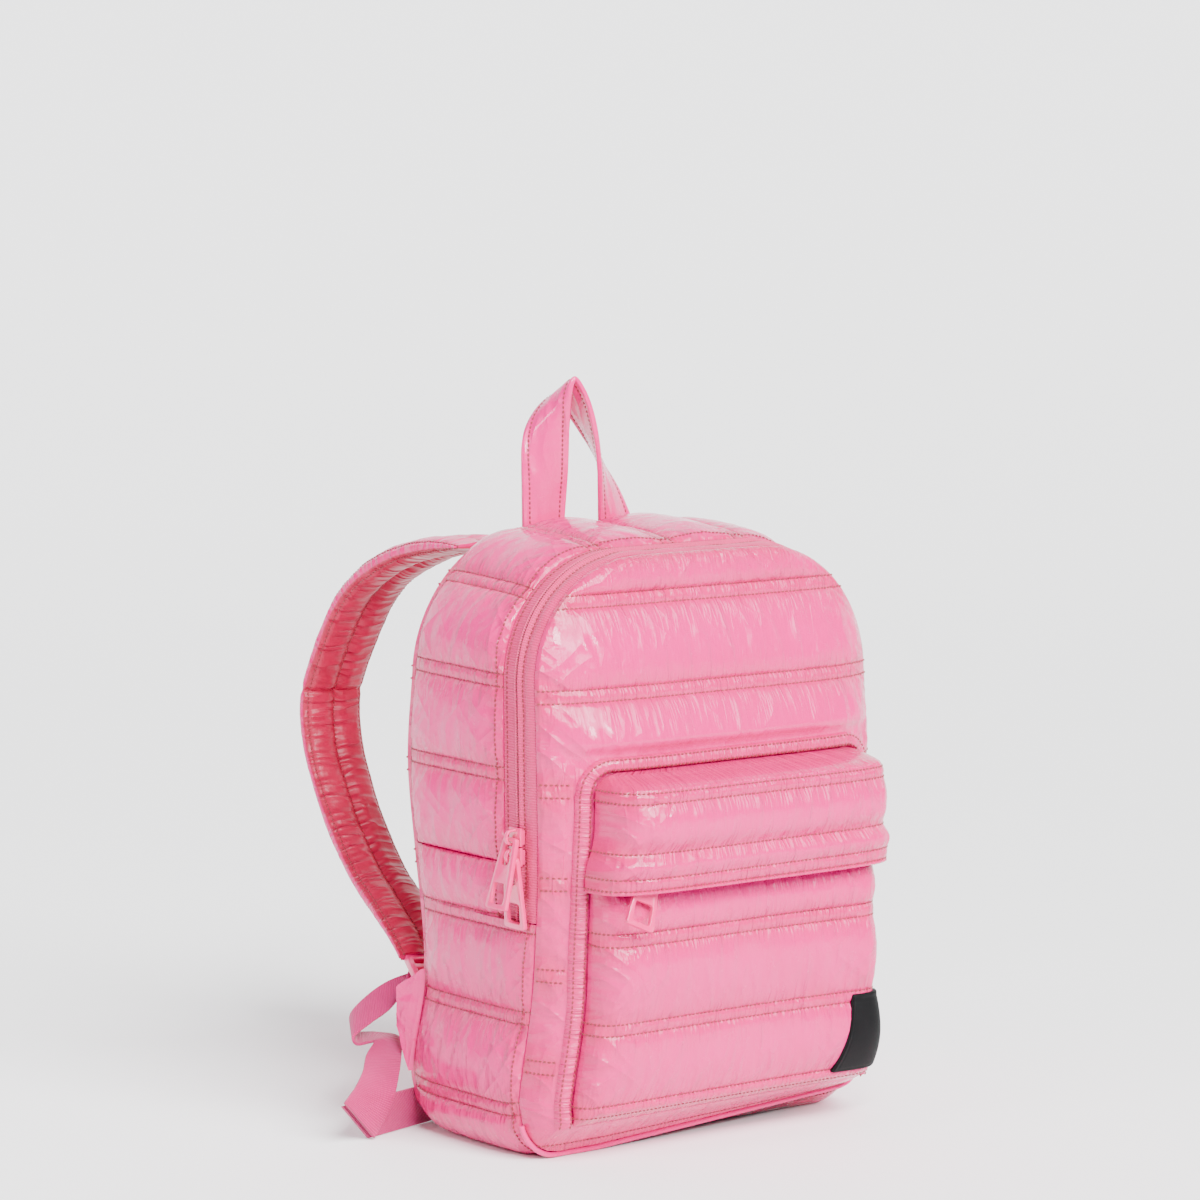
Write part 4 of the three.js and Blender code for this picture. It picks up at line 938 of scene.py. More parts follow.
def make_flap():
    drops = spread(flap_lines, 1.2)
    drop, share = grid(drops, side_shares(125, 1.45))
    place = drop / flap_height

    def face(inset, relief):
        height = pocket_top - drop
        over = read(flap_profile, 2, place)
        half = pocket_half(height) + over * flap_overhang
        rim = flap_wall + over * (frame_thick + 2 * gap)
        out = read(flap_profile, 1, place) * pocket_depth + relief
        stand = rim + np.clip(out - rim, 0, None) * side_shape(share, 24)
        x = share * (half - inset)
        top = np.where((place > 0) & (place < 0.2), inset * 0.8, 0)
        return settled(x, face_y(x, height) - gap - stand + inset, height - top)

    x = share * pocket_half_top
    rim = (1 - np.abs(share)) * pocket_half_top
    relief = quilting(x, drop, flap_lines, 61, 0.8) - 0.5 + seam_gathers(drop, rim, 62, 0.7)
    outer = face(0.0, relief * (np.clip(place / 0.1, 0, 1) * held(share, pocket_power)))
    keep_rows("pocket", outer, drops, flap_lines[1:-1])
    inner, near = face(flap_wall, 0.0), near_lines(drop, flap_lines)
    return quilted("flap", "pocket_flap", outer, inner, flat_uv(x, -drop), near, rim, 0.6)


pocket = make_pocket()
flap = make_flap()
print("pocket and flap", len(pocket.data.polygons) + len(flap.data.polygons), "faces")

# %% [markdown]
# The pocket's frame is a narrow band, folded over and stitched down along both edges, so it
# is gathered like the strips inside the pairs. The zip's tape is woven flat and carries two
# raised lips that cover the coil.

# %% Frame, tape and zip lips
frame_stitch_columns, tape_stitch_columns = (3, 9), (2, 13)


def frame_path(count=520):
    """Middle line of the frame from the left foot over the top to the right foot."""
    rise = pocket_top + frame_offset - frame_corner - pocket_bottom
    quarter = frame_corner * math.pi / 2
    top_half = float(pocket_half(pocket_top))
    total = 2 * (rise + quarter + top_half)
    s = np.linspace(0, total, count)
    near = np.minimum(s, total - s)
    side = np.where(s <= total / 2, -1.0, 1.0)
    turn = np.clip((near - rise) / frame_corner, 0, math.pi / 2)
    up = np.minimum(near, rise)
    z = pocket_bottom + up + frame_corner * np.sin(turn)
    foot = pocket_half(np.minimum(z, pocket_top - frame_corner)) + frame_offset - frame_corner
    reach = np.where(turn > 0, top_half, foot)
    x = reach + frame_corner * np.cos(turn) - np.clip(near - rise - quarter, 0, None)
    return s, side * x, z, side * np.cos(turn), np.sin(turn)


def make_frame():
    s, x, z, nx, nz = frame_path()
    angle = np.linspace(0, math.pi, 13)
    across = np.concatenate([np.cos(angle), [-0.5, 0.5]]) * frame_band / 2
    lift = np.concatenate([np.sin(angle) ** 0.45, [0, 0]]) * frame_thick
    place = np.repeat(s[:, None], len(across), axis=1)
    ribs = ridge(along_rows(noise_rows(71, 1), 0, place / 3.4)) * 0.2
    swelling = along_rows(noise_rows(72, 1), 0, place / 24) * 0.3
    out = 0.15 + lift[None, :] + (ribs + swelling) * (lift[None, :] / frame_thick)
    px = x[:, None] + nx[:, None] * across[None, :]
    pz = z[:, None] + nz[:, None] * across[None, :]
    rings = settled(px, face_y(px, pz) - gap - out, pz)
    facing = np.broadcast_to(np.array([0.0, -1.0, 0.0]), rings[:, 0].shape)
    for column in frame_stitch_columns:
        keep_line("pocket", rings[:, column], facing)
    uv = np.stack([place, np.broadcast_to(across, px.shape)], axis=-1)
    band = tube("piped_frame", rings, uv)
    # The full gather mark also paints the whole band in the nylon's deeper pink, as painted shade.
    mark(band, "gather", 1.0)
    return dress(band, "pink_fabric", "pocket_frame")


def zip_place(length, y, out):
    x, z, nx, nz = outline(length)
    return settled(x + nx * out, y, z + nz * out)


def lips(off):
    """The two raised lips of a tape, by the distance from its middle."""
    return coil_height * 0.95 * bump(off - 1.5, 1.1, 4)


def make_zip_tape():
    lengths = np.linspace(-zip_end_length + gap, zip_end_length - gap, 420)
    length, share = grid(lengths, np.array([
        0, 0.05, 0.1, 0.2, 0.3, 0.36, 0.39, 0.45, 0.49, 0.5,
        0.51, 0.55, 0.61, 0.64, 0.72, 0.8, 0.88, 0.93, 0.97, 1,
    ]))
    y = zip_rear - gap + (front_seam - zip_rear + 2 * gap) * share
    lip = lips(np.abs(share - 0.5) * (zip_width - 2 * gap))
    waves = 0.35 * smooth_noise(81, length / 9, share * 5)
    outer = zip_place(length, y, lip + bump(share - 0.84, 0.11, 4) + waves * (share > 0.6))
    facing = grid_facing(outer)
    for column in tape_stitch_columns:
        keep_line("zip", outer[:, column], facing[:, column])
    inner = zip_place(length, y, -tape_thick)
    piece = shell("zip_tape_woven", outer, inner, np.stack([y, length], axis=-1))
    return dress(piece, "zip_fabric", "zip_tape")


def pocket_tape_face(x, height, out=0.0):
    lean = (height - pocket_mouth_height) / (pocket_zip_height - pocket_mouth_height)
    depth = pocket_depth * (tape_out_low + (tape_out_high - tape_out_low) * lean)
    return settled(x, face_y(x, height) - gap - depth - out, height)


def make_pocket_tape():
    heights = np.linspace(pocket_mouth_height + 2 * gap, pocket_zip_height, 25)
    height, share = grid(heights, np.linspace(-0.86, 0.86, 121))
    x = share * pocket_half(height)
    lip = lips(np.abs(height - (pocket_mouth_height + pocket_zip_height) / 2 - 2))
    outer, inner = pocket_tape_face(x, height, lip), pocket_tape_face(x, height, -tape_thick)
    piece = shell("pocket_tape_woven", outer, inner, flat_uv(x, height))
    return dress(piece, "zip_fabric", "pocket_zip_tape")


make_frame()
make_zip_tape()
make_pocket_tape()
print("frame and tapes made")

# %% [markdown]
# The rest of the cloth pieces are straps. Each is a sweep of a small section along a middle
# line, with a direction for its width at every step. The handle turns half round on its way
# over, so its width direction turns too. The shoulder straps are padded, with a groove sewn
# down the middle of both faces.

# %% Straps as sweeps
binding_sides = 10


def curve_rows(table, count):
    """Even samples down each column of a table that has no column of places."""
    places = np.linspace(0, 1, len(table))
    numbered = np.column_stack([places, np.asarray(table, dtype=float)])
    at = np.linspace(0, 1, count)
    return [read(numbered, column, at) for column in range(1, numbered.shape[1])]


def aims(turn, tilt):
    """Directions from a turn about the upright and a tilt out of the level, in degrees."""
    turn, tilt = np.radians(turn), np.radians(tilt)
    level = np.cos(tilt)
    return np.stack([level * np.cos(turn), level * np.sin(turn), np.sin(tilt)], axis=1)


def strip_rings(centres, widths, section, thickness, relief=None):
    """Rings of a section (u across, v through) about a line; widths reach to one edge."""
    along = np.gradient(centres, axis=0)
    normal = unit(np.cross(widths, along))
    half = np.asarray(thickness) / 2
    half = half[:, None] if half.ndim else half
    u, v = np.asarray(section).T
    lift = half * v[None, :]
    if relief is not None:
        lift = lift + relief
    return centres[:, None] + widths[:, None] * u[None, :, None] + normal[:, None] * lift[..., None]


def keep_edges(rings, centres, section, edges):
    """Keeps lines along a strap at shares of its half width, on both of its faces."""
    widths = rings[:, int(np.argmax(section[:, 0]))] - centres
    normal = unit(np.cross(widths, np.gradient(centres, axis=0)))
    out = (rings[:, len(section) // 4] - centres) * normal
    normal = normal * np.sign(out.sum(axis=-1, keepdims=True))
    for edge in edges:
        for face in (1, -1):
            away = np.hypot(section[:, 0] - edge, 0.3 * (section[:, 1] - face))
            keep_line("straps", rings[:, int(np.argmin(away))], normal * face)


def round_section(count, power=2.6):
    angle = np.linspace(0, 2 * math.pi, count, endpoint=False)
    u = np.sign(np.cos(angle)) * np.abs(np.cos(angle)) ** (2 / power)
    v = np.sign(np.sin(angle)) * np.abs(np.sin(angle)) ** (2 / power)
    return np.stack([u, v], axis=1)


def ring_uv(centres, section, width):
    s = np.concatenate([[0], np.cumsum(np.linalg.norm(np.diff(centres, axis=0), axis=1))])
    u = np.asarray(section)[:, 0] * width / 2
    uu, ss = np.meshgrid(u, s)
    return np.stack([uu, ss], axis=-1), ss


# %% The top handle
handle_width, handle_thick, handle_rise, handle_spread = 25.0, 3.0, 69.0, 48.0
handle_hem = 0.74
handle_route = [
    # side, up, turn, tilt
    (-1.10, 0.00, 2, 0), (-1.06, 0.34, 14, 5), (-1.03, 0.66, 36, 15), (-0.88, 0.88, 68, 25),
    (-0.58, 1.00, 92, 29), (-0.30, 0.93, 100, 27), (-0.05, 0.80, 106, 20), (0.20, 0.62, 116, 10),
    (0.45, 0.41, 132, 4), (0.65, 0.22, 150, 0), (0.82, 0.00, 168, 0),
]
top_seat = settled(0.0, back_seam + gap + wall / 2, body_height)


def handle_line(count=150):
    side, up, turn, tilt = curve_rows(handle_route, count)
    centres = np.stack([
        side * handle_spread / 2,
        np.full(count, top_seat[1]),
        top_seat[2] + 2 * gap + up * handle_rise,
    ], axis=1)
    return centres, aims(-turn, tilt) * handle_width / 2


def make_handle():
    centres, widths = handle_line()
    section = round_section(40, 7)
    uv, s = ring_uv(centres, section, handle_width)
    u = section[:, 0][None, :]
    hem = bump(np.abs(u) - handle_hem, 0.05)
    soft = smooth_noise(91, s / 13, u * 2.2 + 9) * 0.45
    soft = soft + ridge(smooth_noise(92, s / 5, u * 3 + 5)) * 0.25
    relief = (soft * (1 - np.abs(u) ** 4) - 0.45 * hem) * np.sign(section[:, 1])[None, :]
    rings = strip_rings(centres, widths, section, handle_thick, relief)
    keep_edges(rings, centres, section, (-handle_hem, handle_hem))
    return dress(tube("sewn_handle", rings, uv), "pink_fabric", "handle")


make_handle()

# %% The shoulder straps
strap_width_top, strap_width_end = 42.0, 32.0
strap_thick, strap_hem_thick, strap_root, strap_reach = 12.0, 4.0, 58.0, 136.0
strap_route = [
    # out, up, side, thick
    (0.00, 0.985, 1.00, 0.0), (0.16, 0.980, 1.00, 0.7), (0.34, 0.966, 1.00, 1.0),
    (0.50, 0.942, 1.02, 1.0), (0.66, 0.905, 1.03, 1.0), (0.80, 0.850, 1.04, 1.0),
    (0.93, 0.760, 1.05, 1.0), (1.00, 0.680, 1.07, 1.0), (0.975, 0.60, 1.09, 1.0),
    (0.88, 0.527, 1.13, 1.0), (0.755, 0.46, 1.18, 1.0), (0.57, 0.390, 1.25, 1.0),
    (0.39, 0.343, 1.31, 0.95), (0.24, 0.304, 1.37, 0.7), (0.15, 0.275, 1.41, 0.4),
]
strap_start = settled(0.0, back_seam + gap + wall, body_height)[1] + 1 + quilt_puff / 2


def strap_centres(count):
    out, up, side, thick = curve_rows(strap_route, count)
    places = [-strap_root * side, strap_start + strap_reach * out, body_height * up]
    return np.stack(places, axis=1), thick


def strap_line(count):
    centres, thick = strap_centres(count)
    along = unit(np.gradient(centres, axis=0))
    across = unit(np.array([1.0, 0, 0]) - along * along[:, :1])
    width = strap_width_top + (strap_width_end - strap_width_top) * np.linspace(0, 1, count)
    depth = strap_hem_thick + (strap_thick - strap_hem_thick) * np.clip(thick, 0, 1)
    return centres, across * width[:, None] / 2, depth


def mirrored(points, side):
    return points * np.array([-side, 1.0, 1.0])


strap_seam_share, strap_hem = 0.49, 0.9


def make_strap(word, side):
    centres, widths, depth = strap_line(210)
    section = round_section(56, 2.5)
    uv, s = ring_uv(centres, section, strap_width_top)
    u, v = section[:, 0][None, :], section[:, 1][None, :]
    deep = np.clip(depth / strap_thick, 0, 1)[:, None]
    groove = 0.5 * bump(u, 0.16) * deep * strap_thick / 2
    hem = 0.9 * bump(np.abs(u) - strap_hem, 0.05)
    band = 2.2 * bump(s - s[-1, 0] * strap_seam_share, 2.2)
    rows = noise_rows(95 + side, 4)
    beside = np.exp(-np.abs(np.abs(u) - strap_hem) / 0.35) + 1.2 * np.exp(-np.abs(u) / 0.35)
    creases = ridge(along_rows(rows, 0, (s + 6 * u) / 5.5 + 50))
    creases = creases + 0.5 * ridge(along_rows(rows, 1, s / 2.6 + 9))
    waves = smooth_noise(97 + side, s / 16, u * 1.7 + 7)
    raised = 0.5 * creases * beside + 0.6 * waves - groove - hem - band
    relief = np.sign(v) * raised * np.abs(v) ** 0.5
    rings = mirrored(strip_rings(centres, widths, section, depth, relief), side)
    keep_edges(rings, mirrored(centres, side), section, (-strap_hem, 0, strap_hem))
    piece = tube(f"padded_strap_{word}", rings, uv)
    # The inner face is marked for the strap nylon's painted shade.
    inside = np.tile(section[:, 1] < -0.25, len(rings))
    mark(piece, "lined", np.append(inside, [False, False]))
    return dress(piece, "strap_fabric", f"shoulder_strap_{word}", fill=0.6)


make_strap("left", -1)
make_strap("right", 1)

# %% [markdown]
# Webbing is woven with fine ribs straight across. The ribs are raised in the material, and
# the mesh gives the band its loops and its fold. The cloth wing that anchors the webbing is
# sewn into the side seam.

# %% Webbing and wings
webbing_width, webbing_thick = 20.0, 1.5
lock_length, lock_thick = 15.0, 4.0
wing_thick, wing_reach, wing_top, wing_foot, wing_tip_height = 2.0, 12.0, 82.0, 30.0, 62.0
tail_rest, tail_course = 78.0, math.radians(15.4)
tail_route = [
    # out, back, up, turn, tilt, reach
    (0.55, 0.42, 0.89, 40, 22, 1.0), (1.10, 0.40, 0.83, 58, 34, 1.0),
    (1.70, 0.38, 0.76, 60, 33, 1.0), (2.20, 0.38, 0.67, 60, 22, 1.0),
    (2.10, 0.35, 0.585, 58, 8, 1.0), (1.65, 0.30, 0.575, 48, 2, 1.0),
    (1.38, 0.05, 0.56, 14, -2, 1.0), (1.75, -0.35, 0.49, -8, -4, 1.0),
    (2.12, -0.75, 0.40, -12, -10, 1.0), (2.60, -1.12, 0.285, -3, -25, 1.2),
    (3.22, -1.40, 0.155, 15, -44, 1.55),
]


def lock_frame():
    centres, _ = strap_centres(31)
    along = unit(centres[-1] - centres[-2])
    across = unit(np.array([1.0, 0, 0]) - along * along[0])
    normal = unit(np.cross(across, along))
    return centres[-1] + along * (lock_length / 2 + 2 * gap), along, across, normal


def wing_tip_place():
    x, y = settled(-body_width / 2, back_seam, wing_tip_height)[:2]
    return np.array([x - wing_reach * 0.5, y + wing_reach, wing_tip_height])


lock_centre, lock_along, lock_across, lock_normal = lock_frame()
wing_tip = wing_tip_place()


def flat_band(name, node, centres, widths, side):
    half = [(-1, -0.6), (-0.97, -1), (-0.5, -1), (0, -1), (0.5, -1), (0.97, -1), (1, -0.6)]
    section = np.array(half + [(-u, -v) for u, v in half])
    uv, _ = ring_uv(centres, section, webbing_width)
    rings = mirrored(strip_rings(centres, widths, section, webbing_thick), side)
    return dress(tube(name, rings, uv, 40), "webbing", node)


def make_anchor(word, side):
    start = wing_tip + np.array([0, 2 * gap + wing_thick / 2, 0])
    end = lock_centre + lock_along * (lock_length / 2 + 2 * gap)
    t, down = np.linspace(0, 1, 30)[:, None], np.array([0, 0, -1.0])
    widths = unit(down + (lock_across - down) * t) * webbing_width * 0.49
    centres = start + (end - start) * t
    flat_band(f"anchor_{word}", f"anchor_webbing_{word}", centres, widths, side)


def make_tail(word, side):
    """The loose webbing: held on the lock, joined by a short run, then free to the floor."""
    out, back, up, turn, tilt, reach = curve_rows(tail_route, 150)
    loose = lock_centre * np.array([1, 1, 0]) + np.stack([
        -out * webbing_width, back * webbing_width, lock_centre[2] * up,
    ], axis=1)
    widths = aims(turn, tilt) * reach[:, None] * webbing_width / 2
    share = np.linspace(0.15, -0.25, 8)[:, None]
    seat = lock_normal * (lock_thick / 2 + gap + webbing_thick / 2)
    held_run = lock_centre + lock_along * share * lock_length + seat
    held_widths = np.repeat(lock_across[None] * webbing_width / 2, 8, axis=0)
    join = np.linspace(held_run[-1], loose[0], 12)[1:-1]
    join_widths = np.linspace(held_widths[-1], widths[0], 12)[1:-1]
    centres = np.concatenate([held_run, join, loose])
    spans = np.concatenate([held_widths, join_widths, widths])
    flat_band(f"tail_{word}", f"tail_webbing_{word}", centres, spans, side)


def make_tail_rest(word, side):
    """The end of the webbing, folded back along the floor with a slanting crease."""
    last = tail_route[-1]
    crease = np.array([
        lock_centre[0] - last[0] * webbing_width,
        lock_centre[1] + last[1] * webbing_width + webbing_thick + 8 * gap,
        webbing_width / 2 + gap,
    ])
    course = np.array([math.cos(tail_course), math.sin(tail_course), 0])
    t = np.linspace(0, 1, 40)
    lower = webbing_width / 2 + tail_rest * t
    upper = -webbing_width / 2 + (tail_rest + webbing_width) * t
    centres = crease + course * ((lower + upper) / 2)[:, None]
    spans = course * ((upper - lower) / 2)[:, None]
    spans[:, 2] = webbing_width * 0.49
    flat_band(f"tail_rest_{word}", f"tail_end_{word}", centres, spans, side)


def make_wing(word, side):
    t, s = grid(np.linspace(0, 1, 34), np.linspace(0, 1, 40))
    height = wing_foot + (wing_top - wing_foot) * s
    x, y, _ = np.moveaxis(settled(np.full(t.shape, -body_width / 2), back_seam, height), -1, 0)
    root = np.stack([x - 3 * gap, y + 2 * gap, height], axis=-1)
    end = np.broadcast_to(wing_tip, root.shape).copy()
    end[..., 2] += webbing_width * (s - 0.5)
    points = root + (end - root) * t[..., None]
    waves = 0.55 * smooth_noise(98, s * 9, t * 2) * np.sin(math.pi * t)
    waves = waves + 0.25 * ridge(smooth_noise(99, s * 14, t * 1.5))

    def layer(thick):
        offset = thick + waves * (thick > 0)
        return mirrored(points + np.stack([-offset, 0.4 * offset, 0 * offset], axis=-1), side)

    uv = np.stack([t * 15, height], axis=-1)
    piece = shell(f"wing_cloth_{word}", layer(wing_thick), layer(0.0), uv)
    return dress(piece, "pink_fabric", f"wing_{word}")


for word, side in (("left", -1), ("right", 1)):
    for make in (make_anchor, make_tail, make_tail_rest, make_wing):
        make(word, side)
print("webbing and wings made")

# %% [markdown]
# A round cord of cloth binds the seam under the front, and a soft black patch is sewn round
# the pocket's edge. The patch follows the pocket's face, a little above it, and stays bare.

# %% Binding and label
label_width, label_height, label_bottom, label_thick = 25.0, 42.0, 27.0, 1.6
label_inner_top, label_inner_bottom, label_outer = 0.77, 0.665, 0.975


def make_binding():
    reach = bottom_flat + bottom_arc
    place = np.linspace(-reach, reach, 300)
    along = half_outline - np.abs(place)
    x, z, nx, nz = outline(np.where(place < 0, -1, 1) * along)
    angle = np.linspace(0, 2 * math.pi, binding_sides, endpoint=False)
    ribs = 0.12 * ridge(along_rows(noise_rows(101, 1), 0, place / 2.2 + 300))
    radius = (binding_radius + ribs)[:, None]
    out = binding_radius + gap + radius * np.cos(angle)
    y = front_seam - gap - wall / 2 + radius * np.sin(angle)
    middle = np.repeat(x[:, None], binding_sides, 1), y, np.repeat(z[:, None], binding_sides, 1)
    rings = settled(*middle) + np.stack([nx[:, None] * out, 0 * out, nz[:, None] * out], axis=-1)
    rings[..., 2] = np.maximum(rings[..., 2], floor_clear)
    return dress(tube("bound_seam", rings), "pink_fabric", "bottom_binding")


def pocket_surface(share, height):
    rise = np.clip((height - 28) / 37, 0, 1)
    return pocket_face(share, height, relief=2.2 * np.sin(math.pi * rise) ** 0.7)


def make_label():
    t, s = grid(np.linspace(0, 1, 60), np.linspace(0, 1, 60))
    round_off = 1 - 0.04 * np.clip((np.abs(2 * s - 1) - 0.9) / 0.1, 0, 1) ** 2
    inner_share = label_inner_bottom + (label_inner_top - label_inner_bottom) * s
    share = inner_share + (label_outer - inner_share) * (0.5 + (t - 0.5) * round_off)
    height = label_bottom + label_height * s
    here = pocket_surface(share, height)
    right = pocket_surface(share + 0.004, height) - here
    up = pocket_surface(share, height + 1) - here
    normal = unit(np.cross(right, up))
    rim = np.minimum(np.minimum(t, 1 - t) * label_width, np.minimum(s, 1 - s) * label_height)
    lift = 3 * gap + label_thick * np.clip(rim / 0.8, 0.45, 1)
    lift = lift - 0.25 * np.clip(1 - np.abs(rim - 2.2) / 0.5, 0, 1)
    outer, inner = here + normal * lift[..., None], here + normal * (2 * gap)
    uv = np.stack([t * label_width, s * label_height], axis=-1)
    return dress(shell("blank_label", outer, inner, uv), "black_rubber", "label_patch")


make_binding()
make_label()

# %% [markdown]
# The hard pieces are moulded and have small rounds on all their edges. Each starts from a
# copy of its solid, whose loose triangles are merged first. A bevel then breaks the edges,
# and the piece rides on the body that its solid belongs to.

# %% Moulded sliders, pullers and buckles
edge_round, weld_reach = 0.32, 0.02
flat_angle, edge_angle = 4, 35


def baked(piece):
    """Turns what a piece's modifiers make into its own plain mesh."""
    bpy.context.view_layer.update()
    graph = bpy.context.evaluated_depsgraph_get()
    done = bpy.data.meshes.new_from_object(piece.evaluated_get(graph))
    piece.modifiers.clear()
    piece.data = done
    return done


def moulded(name, node, body):
    source = next(o for o in bpy.data.objects if (o.name + ".").startswith(node + "."))
    mesh = source.data.copy()
    mesh.transform(source.matrix_world)
    piece = shown(name, mesh)
    weld = piece.modifiers.new("weld", "WELD")
    weld.merge_threshold = weld_reach * mm
    flat = piece.modifiers.new("flat", "DECIMATE")
    flat.decimate_type = "DISSOLVE"
    flat.angle_limit = math.radians(flat_angle)
    bevel = piece.modifiers.new("bevel", "BEVEL")
    bevel.width = edge_round * mm
    bevel.segments = 2
    bevel.limit_method = "ANGLE"
    bevel.angle_limit = math.radians(edge_angle)
    bevel.use_clamp_overlap = True
    done = baked(piece)
    done.materials.clear()
    done.shade_smooth()
    done.set_sharp_from_angle(angle=math.radians(40))
    return dress(piece, "pink_lacquer", node, body=body)


for name, node in (
    ("slider_upper", "zip_slider_upper"), ("slider_lower", "zip_slider_lower"),
    ("slider_pocket", "pocket_slider"), ("pull_upper", "puller_upper"),
    ("pull_lower", "puller_lower"), ("pull_pocket", "puller_pocket"),
    ("buckle_left", "ladder_lock_left"), ("buckle_right", "ladder_lock_right"),
):
    moulded(name, node, node if node.startswith("puller") else "bag")
print("moulded pieces made")

# %% [markdown]
# Stitches and zip teeth repeat by the thousand, so Geometry Nodes lay them. A path is a line
# of points on the cloth, each with the direction that the cloth faces. The tree spaces small
# shapes along the path, turns them to it, makes them real and gives them their material. The
# result is kept as a plain mesh.

# %% A tree that lays pieces along a path


def laying_tree(name):
    tree = bpy.data.node_groups.new(name, "GeometryNodeTree")
    for word, kind, way in (
        ("Paths", "Geometry", "INPUT"), ("Pitch", "Float", "INPUT"),
        ("Piece", "Object", "INPUT"), ("Finish", "Material", "INPUT"),
        ("Laid", "Geometry", "OUTPUT"),
    ):
        tree.interface.new_socket(word, in_out=way, socket_type="NodeSocket" + kind)
    add = tree.nodes.new
    source, result = add("NodeGroupInput"), add("NodeGroupOutput")
    curve, even = add("GeometryNodeMeshToCurve"), add("GeometryNodeResampleCurve")
    even.mode = "LENGTH"
    facing, tangent = add("GeometryNodeInputNamedAttribute"), add("GeometryNodeInputTangent")
    facing.data_type = "FLOAT_VECTOR"
    facing.inputs["Name"].default_value = "facing"
    turn_x, turn_z = (add("FunctionNodeAlignRotationToVector") for _ in range(2))
    turn_x.axis, turn_z.axis, turn_z.pivot_axis = "X", "Z", "X"
    lay, model = add("GeometryNodeInstanceOnPoints"), add("GeometryNodeObjectInfo")
    real, paint = add("GeometryNodeRealizeInstances"), add("GeometryNodeSetMaterial")
    for start, output, end, socket in (
        (source, "Paths", curve, 0), (curve, 0, even, "Curve"), (source, "Pitch", even, "Length"),
        (even, 0, lay, "Points"), (source, "Piece", model, "Object"),
        (model, "Geometry", lay, "Instance"), (tangent, 0, turn_x, "Vector"),
        (turn_x, 0, turn_z, "Rotation"), (facing, "Attribute", turn_z, "Vector"),
        (turn_z, 0, lay, "Rotation"), (lay, 0, real, 0), (real, 0, paint, "Geometry"),
        (source, "Finish", paint, "Material"), (paint, 0, result, 0),
    ):
        tree.links.new(start.outputs[output], end.inputs[socket])
    return tree


def small_shape(name, length, width, height, sides=6):
    """A rounded grain, longest along X, for one stitch or one tooth."""
    places = np.array([-0.5, -0.42, -0.25, 0.25, 0.42, 0.5]) * length
    points, faces = [], []
    for place, size in zip(places, (0.0, 0.35, 1.0, 1.0, 0.35, 0.0)):
        for k in range(sides):
            angle = 2 * math.pi * k / sides
            y, z = size * width / 2 * math.cos(angle), size * height / 2 * math.sin(angle)
            points.append((place, y, z))
    for r in range(len(places) - 1):
        for k in range(sides):
            a, b = r * sides + k, r * sides + (k + 1) % sides
            faces.append((a, b, b + sides, a + sides))
    mesh = bpy.data.meshes.new(name)
    mesh.from_pydata((np.array(points) * mm).tolist(), [], faces)
    shape = bmesh.new()
    shape.from_mesh(mesh)
    bmesh.ops.remove_doubles(shape, verts=shape.verts, dist=1e-6)
    bmesh.ops.recalc_face_normals(shape, faces=shape.faces)
    shape.to_mesh(mesh)
    shape.free()
    mesh.shade_smooth()
    return bpy.data.objects.new(name, mesh)


laying = laying_tree("lay along a path")


def lay(name, paths, piece, pitch, slot, *nodes):
    """paths: (points, facings) pairs in millimetres. Returns the plain mesh of what was laid."""
    points, edges, facings = [], [], []
    for line, facing in paths:
        first = len(points)
        points.extend((np.asarray(line) * mm).tolist())
        facings.append(np.broadcast_to(facing, np.shape(line)))
        edges.extend((first + k, first + k + 1) for k in range(len(line) - 1))
    mesh = bpy.data.meshes.new(name)
    mesh.from_pydata(points, edges, [])
    attribute = mesh.attributes.new("facing", "FLOAT_VECTOR", "POINT")
    attribute.data.foreach_set("vector", np.concatenate(facings).astype(np.float32).ravel())
    holder = shown(name, mesh)
    modifier = holder.modifiers.new("lay", "NODES")
    modifier.node_group = laying
    inputs = [item for item in laying.interface.items_tree if item.in_out == "INPUT"]
    sockets = {item.name: item.identifier for item in inputs}
    modifier[sockets["Pitch"]] = pitch * mm
    modifier[sockets["Piece"]] = piece
    modifier[sockets["Finish"]] = thread_and_painted_shade
    print(name, len(baked(holder).polygons), "faces")
    return dress(holder, slot, *nodes)


# %% [markdown]
# The stitches of the bag are about 2.4 mm apart and sit deep in the cloth. One small grain
# of thread is enough for all of them. The zip's coil uses the same tree, with a wider grain
# laid across. Both take the thread's finish, so the coil's dark pink is painted shade in the
# slit between the zip's lips.

# %% Stitches along every kept line
stitch_pitch, tooth_pitch, tooth_length, coil_out = 2.4, 1.25, 0.75, 0.9
stitch_length, stitch_width, stitch_thick = 1.9, 1.0, 0.75
stitch = small_shape("one stitch", stitch_length, stitch_width, stitch_thick)
for group, paths in seams.items():
    fabric = "strap_fabric" if group == "straps" else "pink_fabric"
    lay(f"stitches_{group}", paths, stitch, stitch_pitch, fabric)

# %% The zip's coil
tooth = small_shape("one tooth", tooth_length, coil_width - 1.6, 1.2)


def coil_path():
    length = np.linspace(-zip_end_length + 2, zip_end_length - 2, 400)
    points, above = (zip_place(length, zip_middle, coil_out + out) for out in (0, 1))
    return points, unit(above - points)


# The teeth take the thread's dark finish, as painted shade in the slit between the lips.
lay("coil_teeth", [coil_path()], tooth, tooth_pitch, "zip_fabric", "zip_coil")

# %% [markdown]
# The picture has a plain pale ground without a horizon and a faint shadow where the bag
# touches it. A very large floor curves up far behind the bag. One broad even light comes
# from the front and above, three small lamps give the cloth its shine, and the pale room
# fills the shadows.

# %% Floor and light


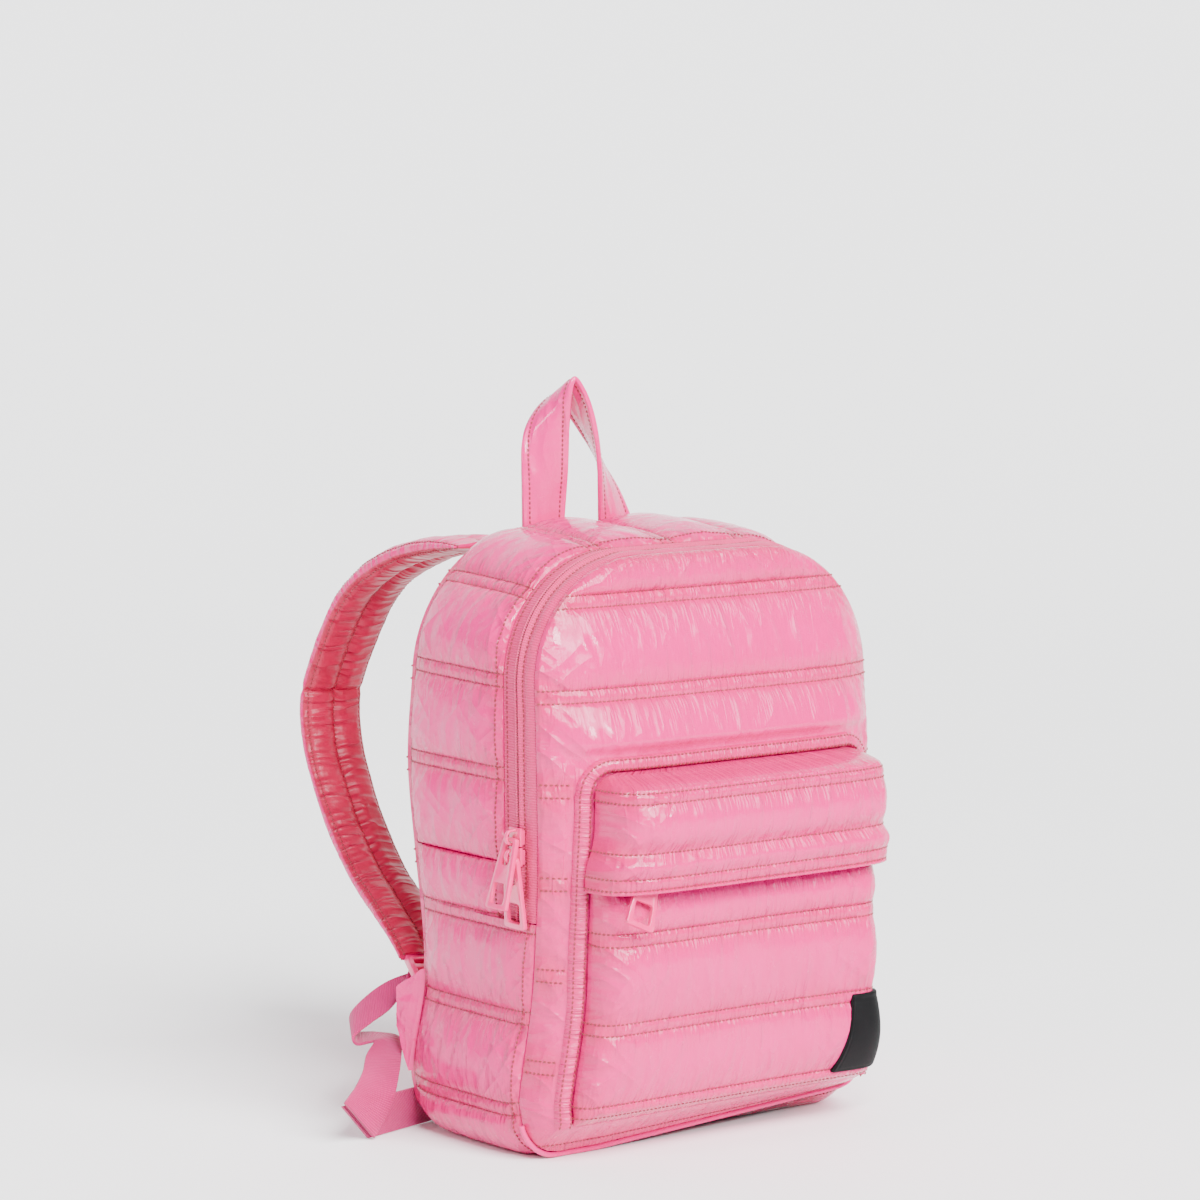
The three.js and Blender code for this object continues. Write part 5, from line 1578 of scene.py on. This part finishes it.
def make_floor():
    ground = Recipe("pale floor", 0.9)
    shades = tint(252, 252, 253), tint(254, 254, 255)
    ground.feed("Base Color", ground.between(ground.grain(3, 1.0), *shades))
    turn = np.linspace(0, math.pi / 2, 25)
    back = np.concatenate([[-9.0], 2.0 + 3.0 * np.sin(turn), [5.0]])
    rise = np.concatenate([[0.0], 3.0 - 3.0 * np.cos(turn), [9.0]])
    ahead, aside = grid(back, np.linspace(-12, 12, 9))
    x = ahead * math.sin(yaw) + aside * math.cos(yaw)
    y = ahead * math.cos(yaw) - aside * math.sin(yaw)
    z = np.broadcast_to(rise[:, None], x.shape)
    points = np.stack([x, y, z], axis=-1).reshape(-1, 3)
    mesh = bpy.data.meshes.new("floor")
    mesh.from_pydata(points.tolist(), [], grid_faces(*x.shape, flip=True).tolist())
    mesh.shade_smooth()
    mesh.materials.append(ground.material)
    shown("floor", mesh)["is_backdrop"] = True


def soft_light(name, place, aim, side, power):
    lamp = bpy.data.lights.new(name, "AREA")
    lamp.size, lamp.energy = side, power
    shown(name, lamp, Vector(aim) - Vector(place)).location = place


make_floor()
sun = bpy.data.lights.new("even light", "SUN")
sun.energy, sun.angle = 7.4, math.radians(40)
shown("even light", sun, (0.0, 0.74, -0.67))
soft_light("gloss", (-0.75, -1.25, 1.15), (0, 0, 0.2), 0.3, 22)
soft_light("front gloss", (0.3, -1.6, 0.9), (0, 0, 0.15), 0.2, 9)
soft_light("edge", (-1.7, -0.1, 1.0), (0, 0, 0.2), 0.3, 9)
room = bpy.data.worlds.new("studio")
room.use_nodes = True
room.node_tree.nodes["Background"].inputs["Color"].default_value = (1, 1, 1, 1)
room.node_tree.nodes["Background"].inputs["Strength"].default_value = 0.45
bpy.context.scene.world = room

# %% [markdown]
# At the end the box of the dressed bag is printed, in millimetres.

# %% Sizes and the end
looks_box = [[float(c) for c in corner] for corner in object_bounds()]
for axis, low, high in zip("xyz", *looks_box):
    print(axis, round(low * 1000, 1), round(high * 1000, 1))
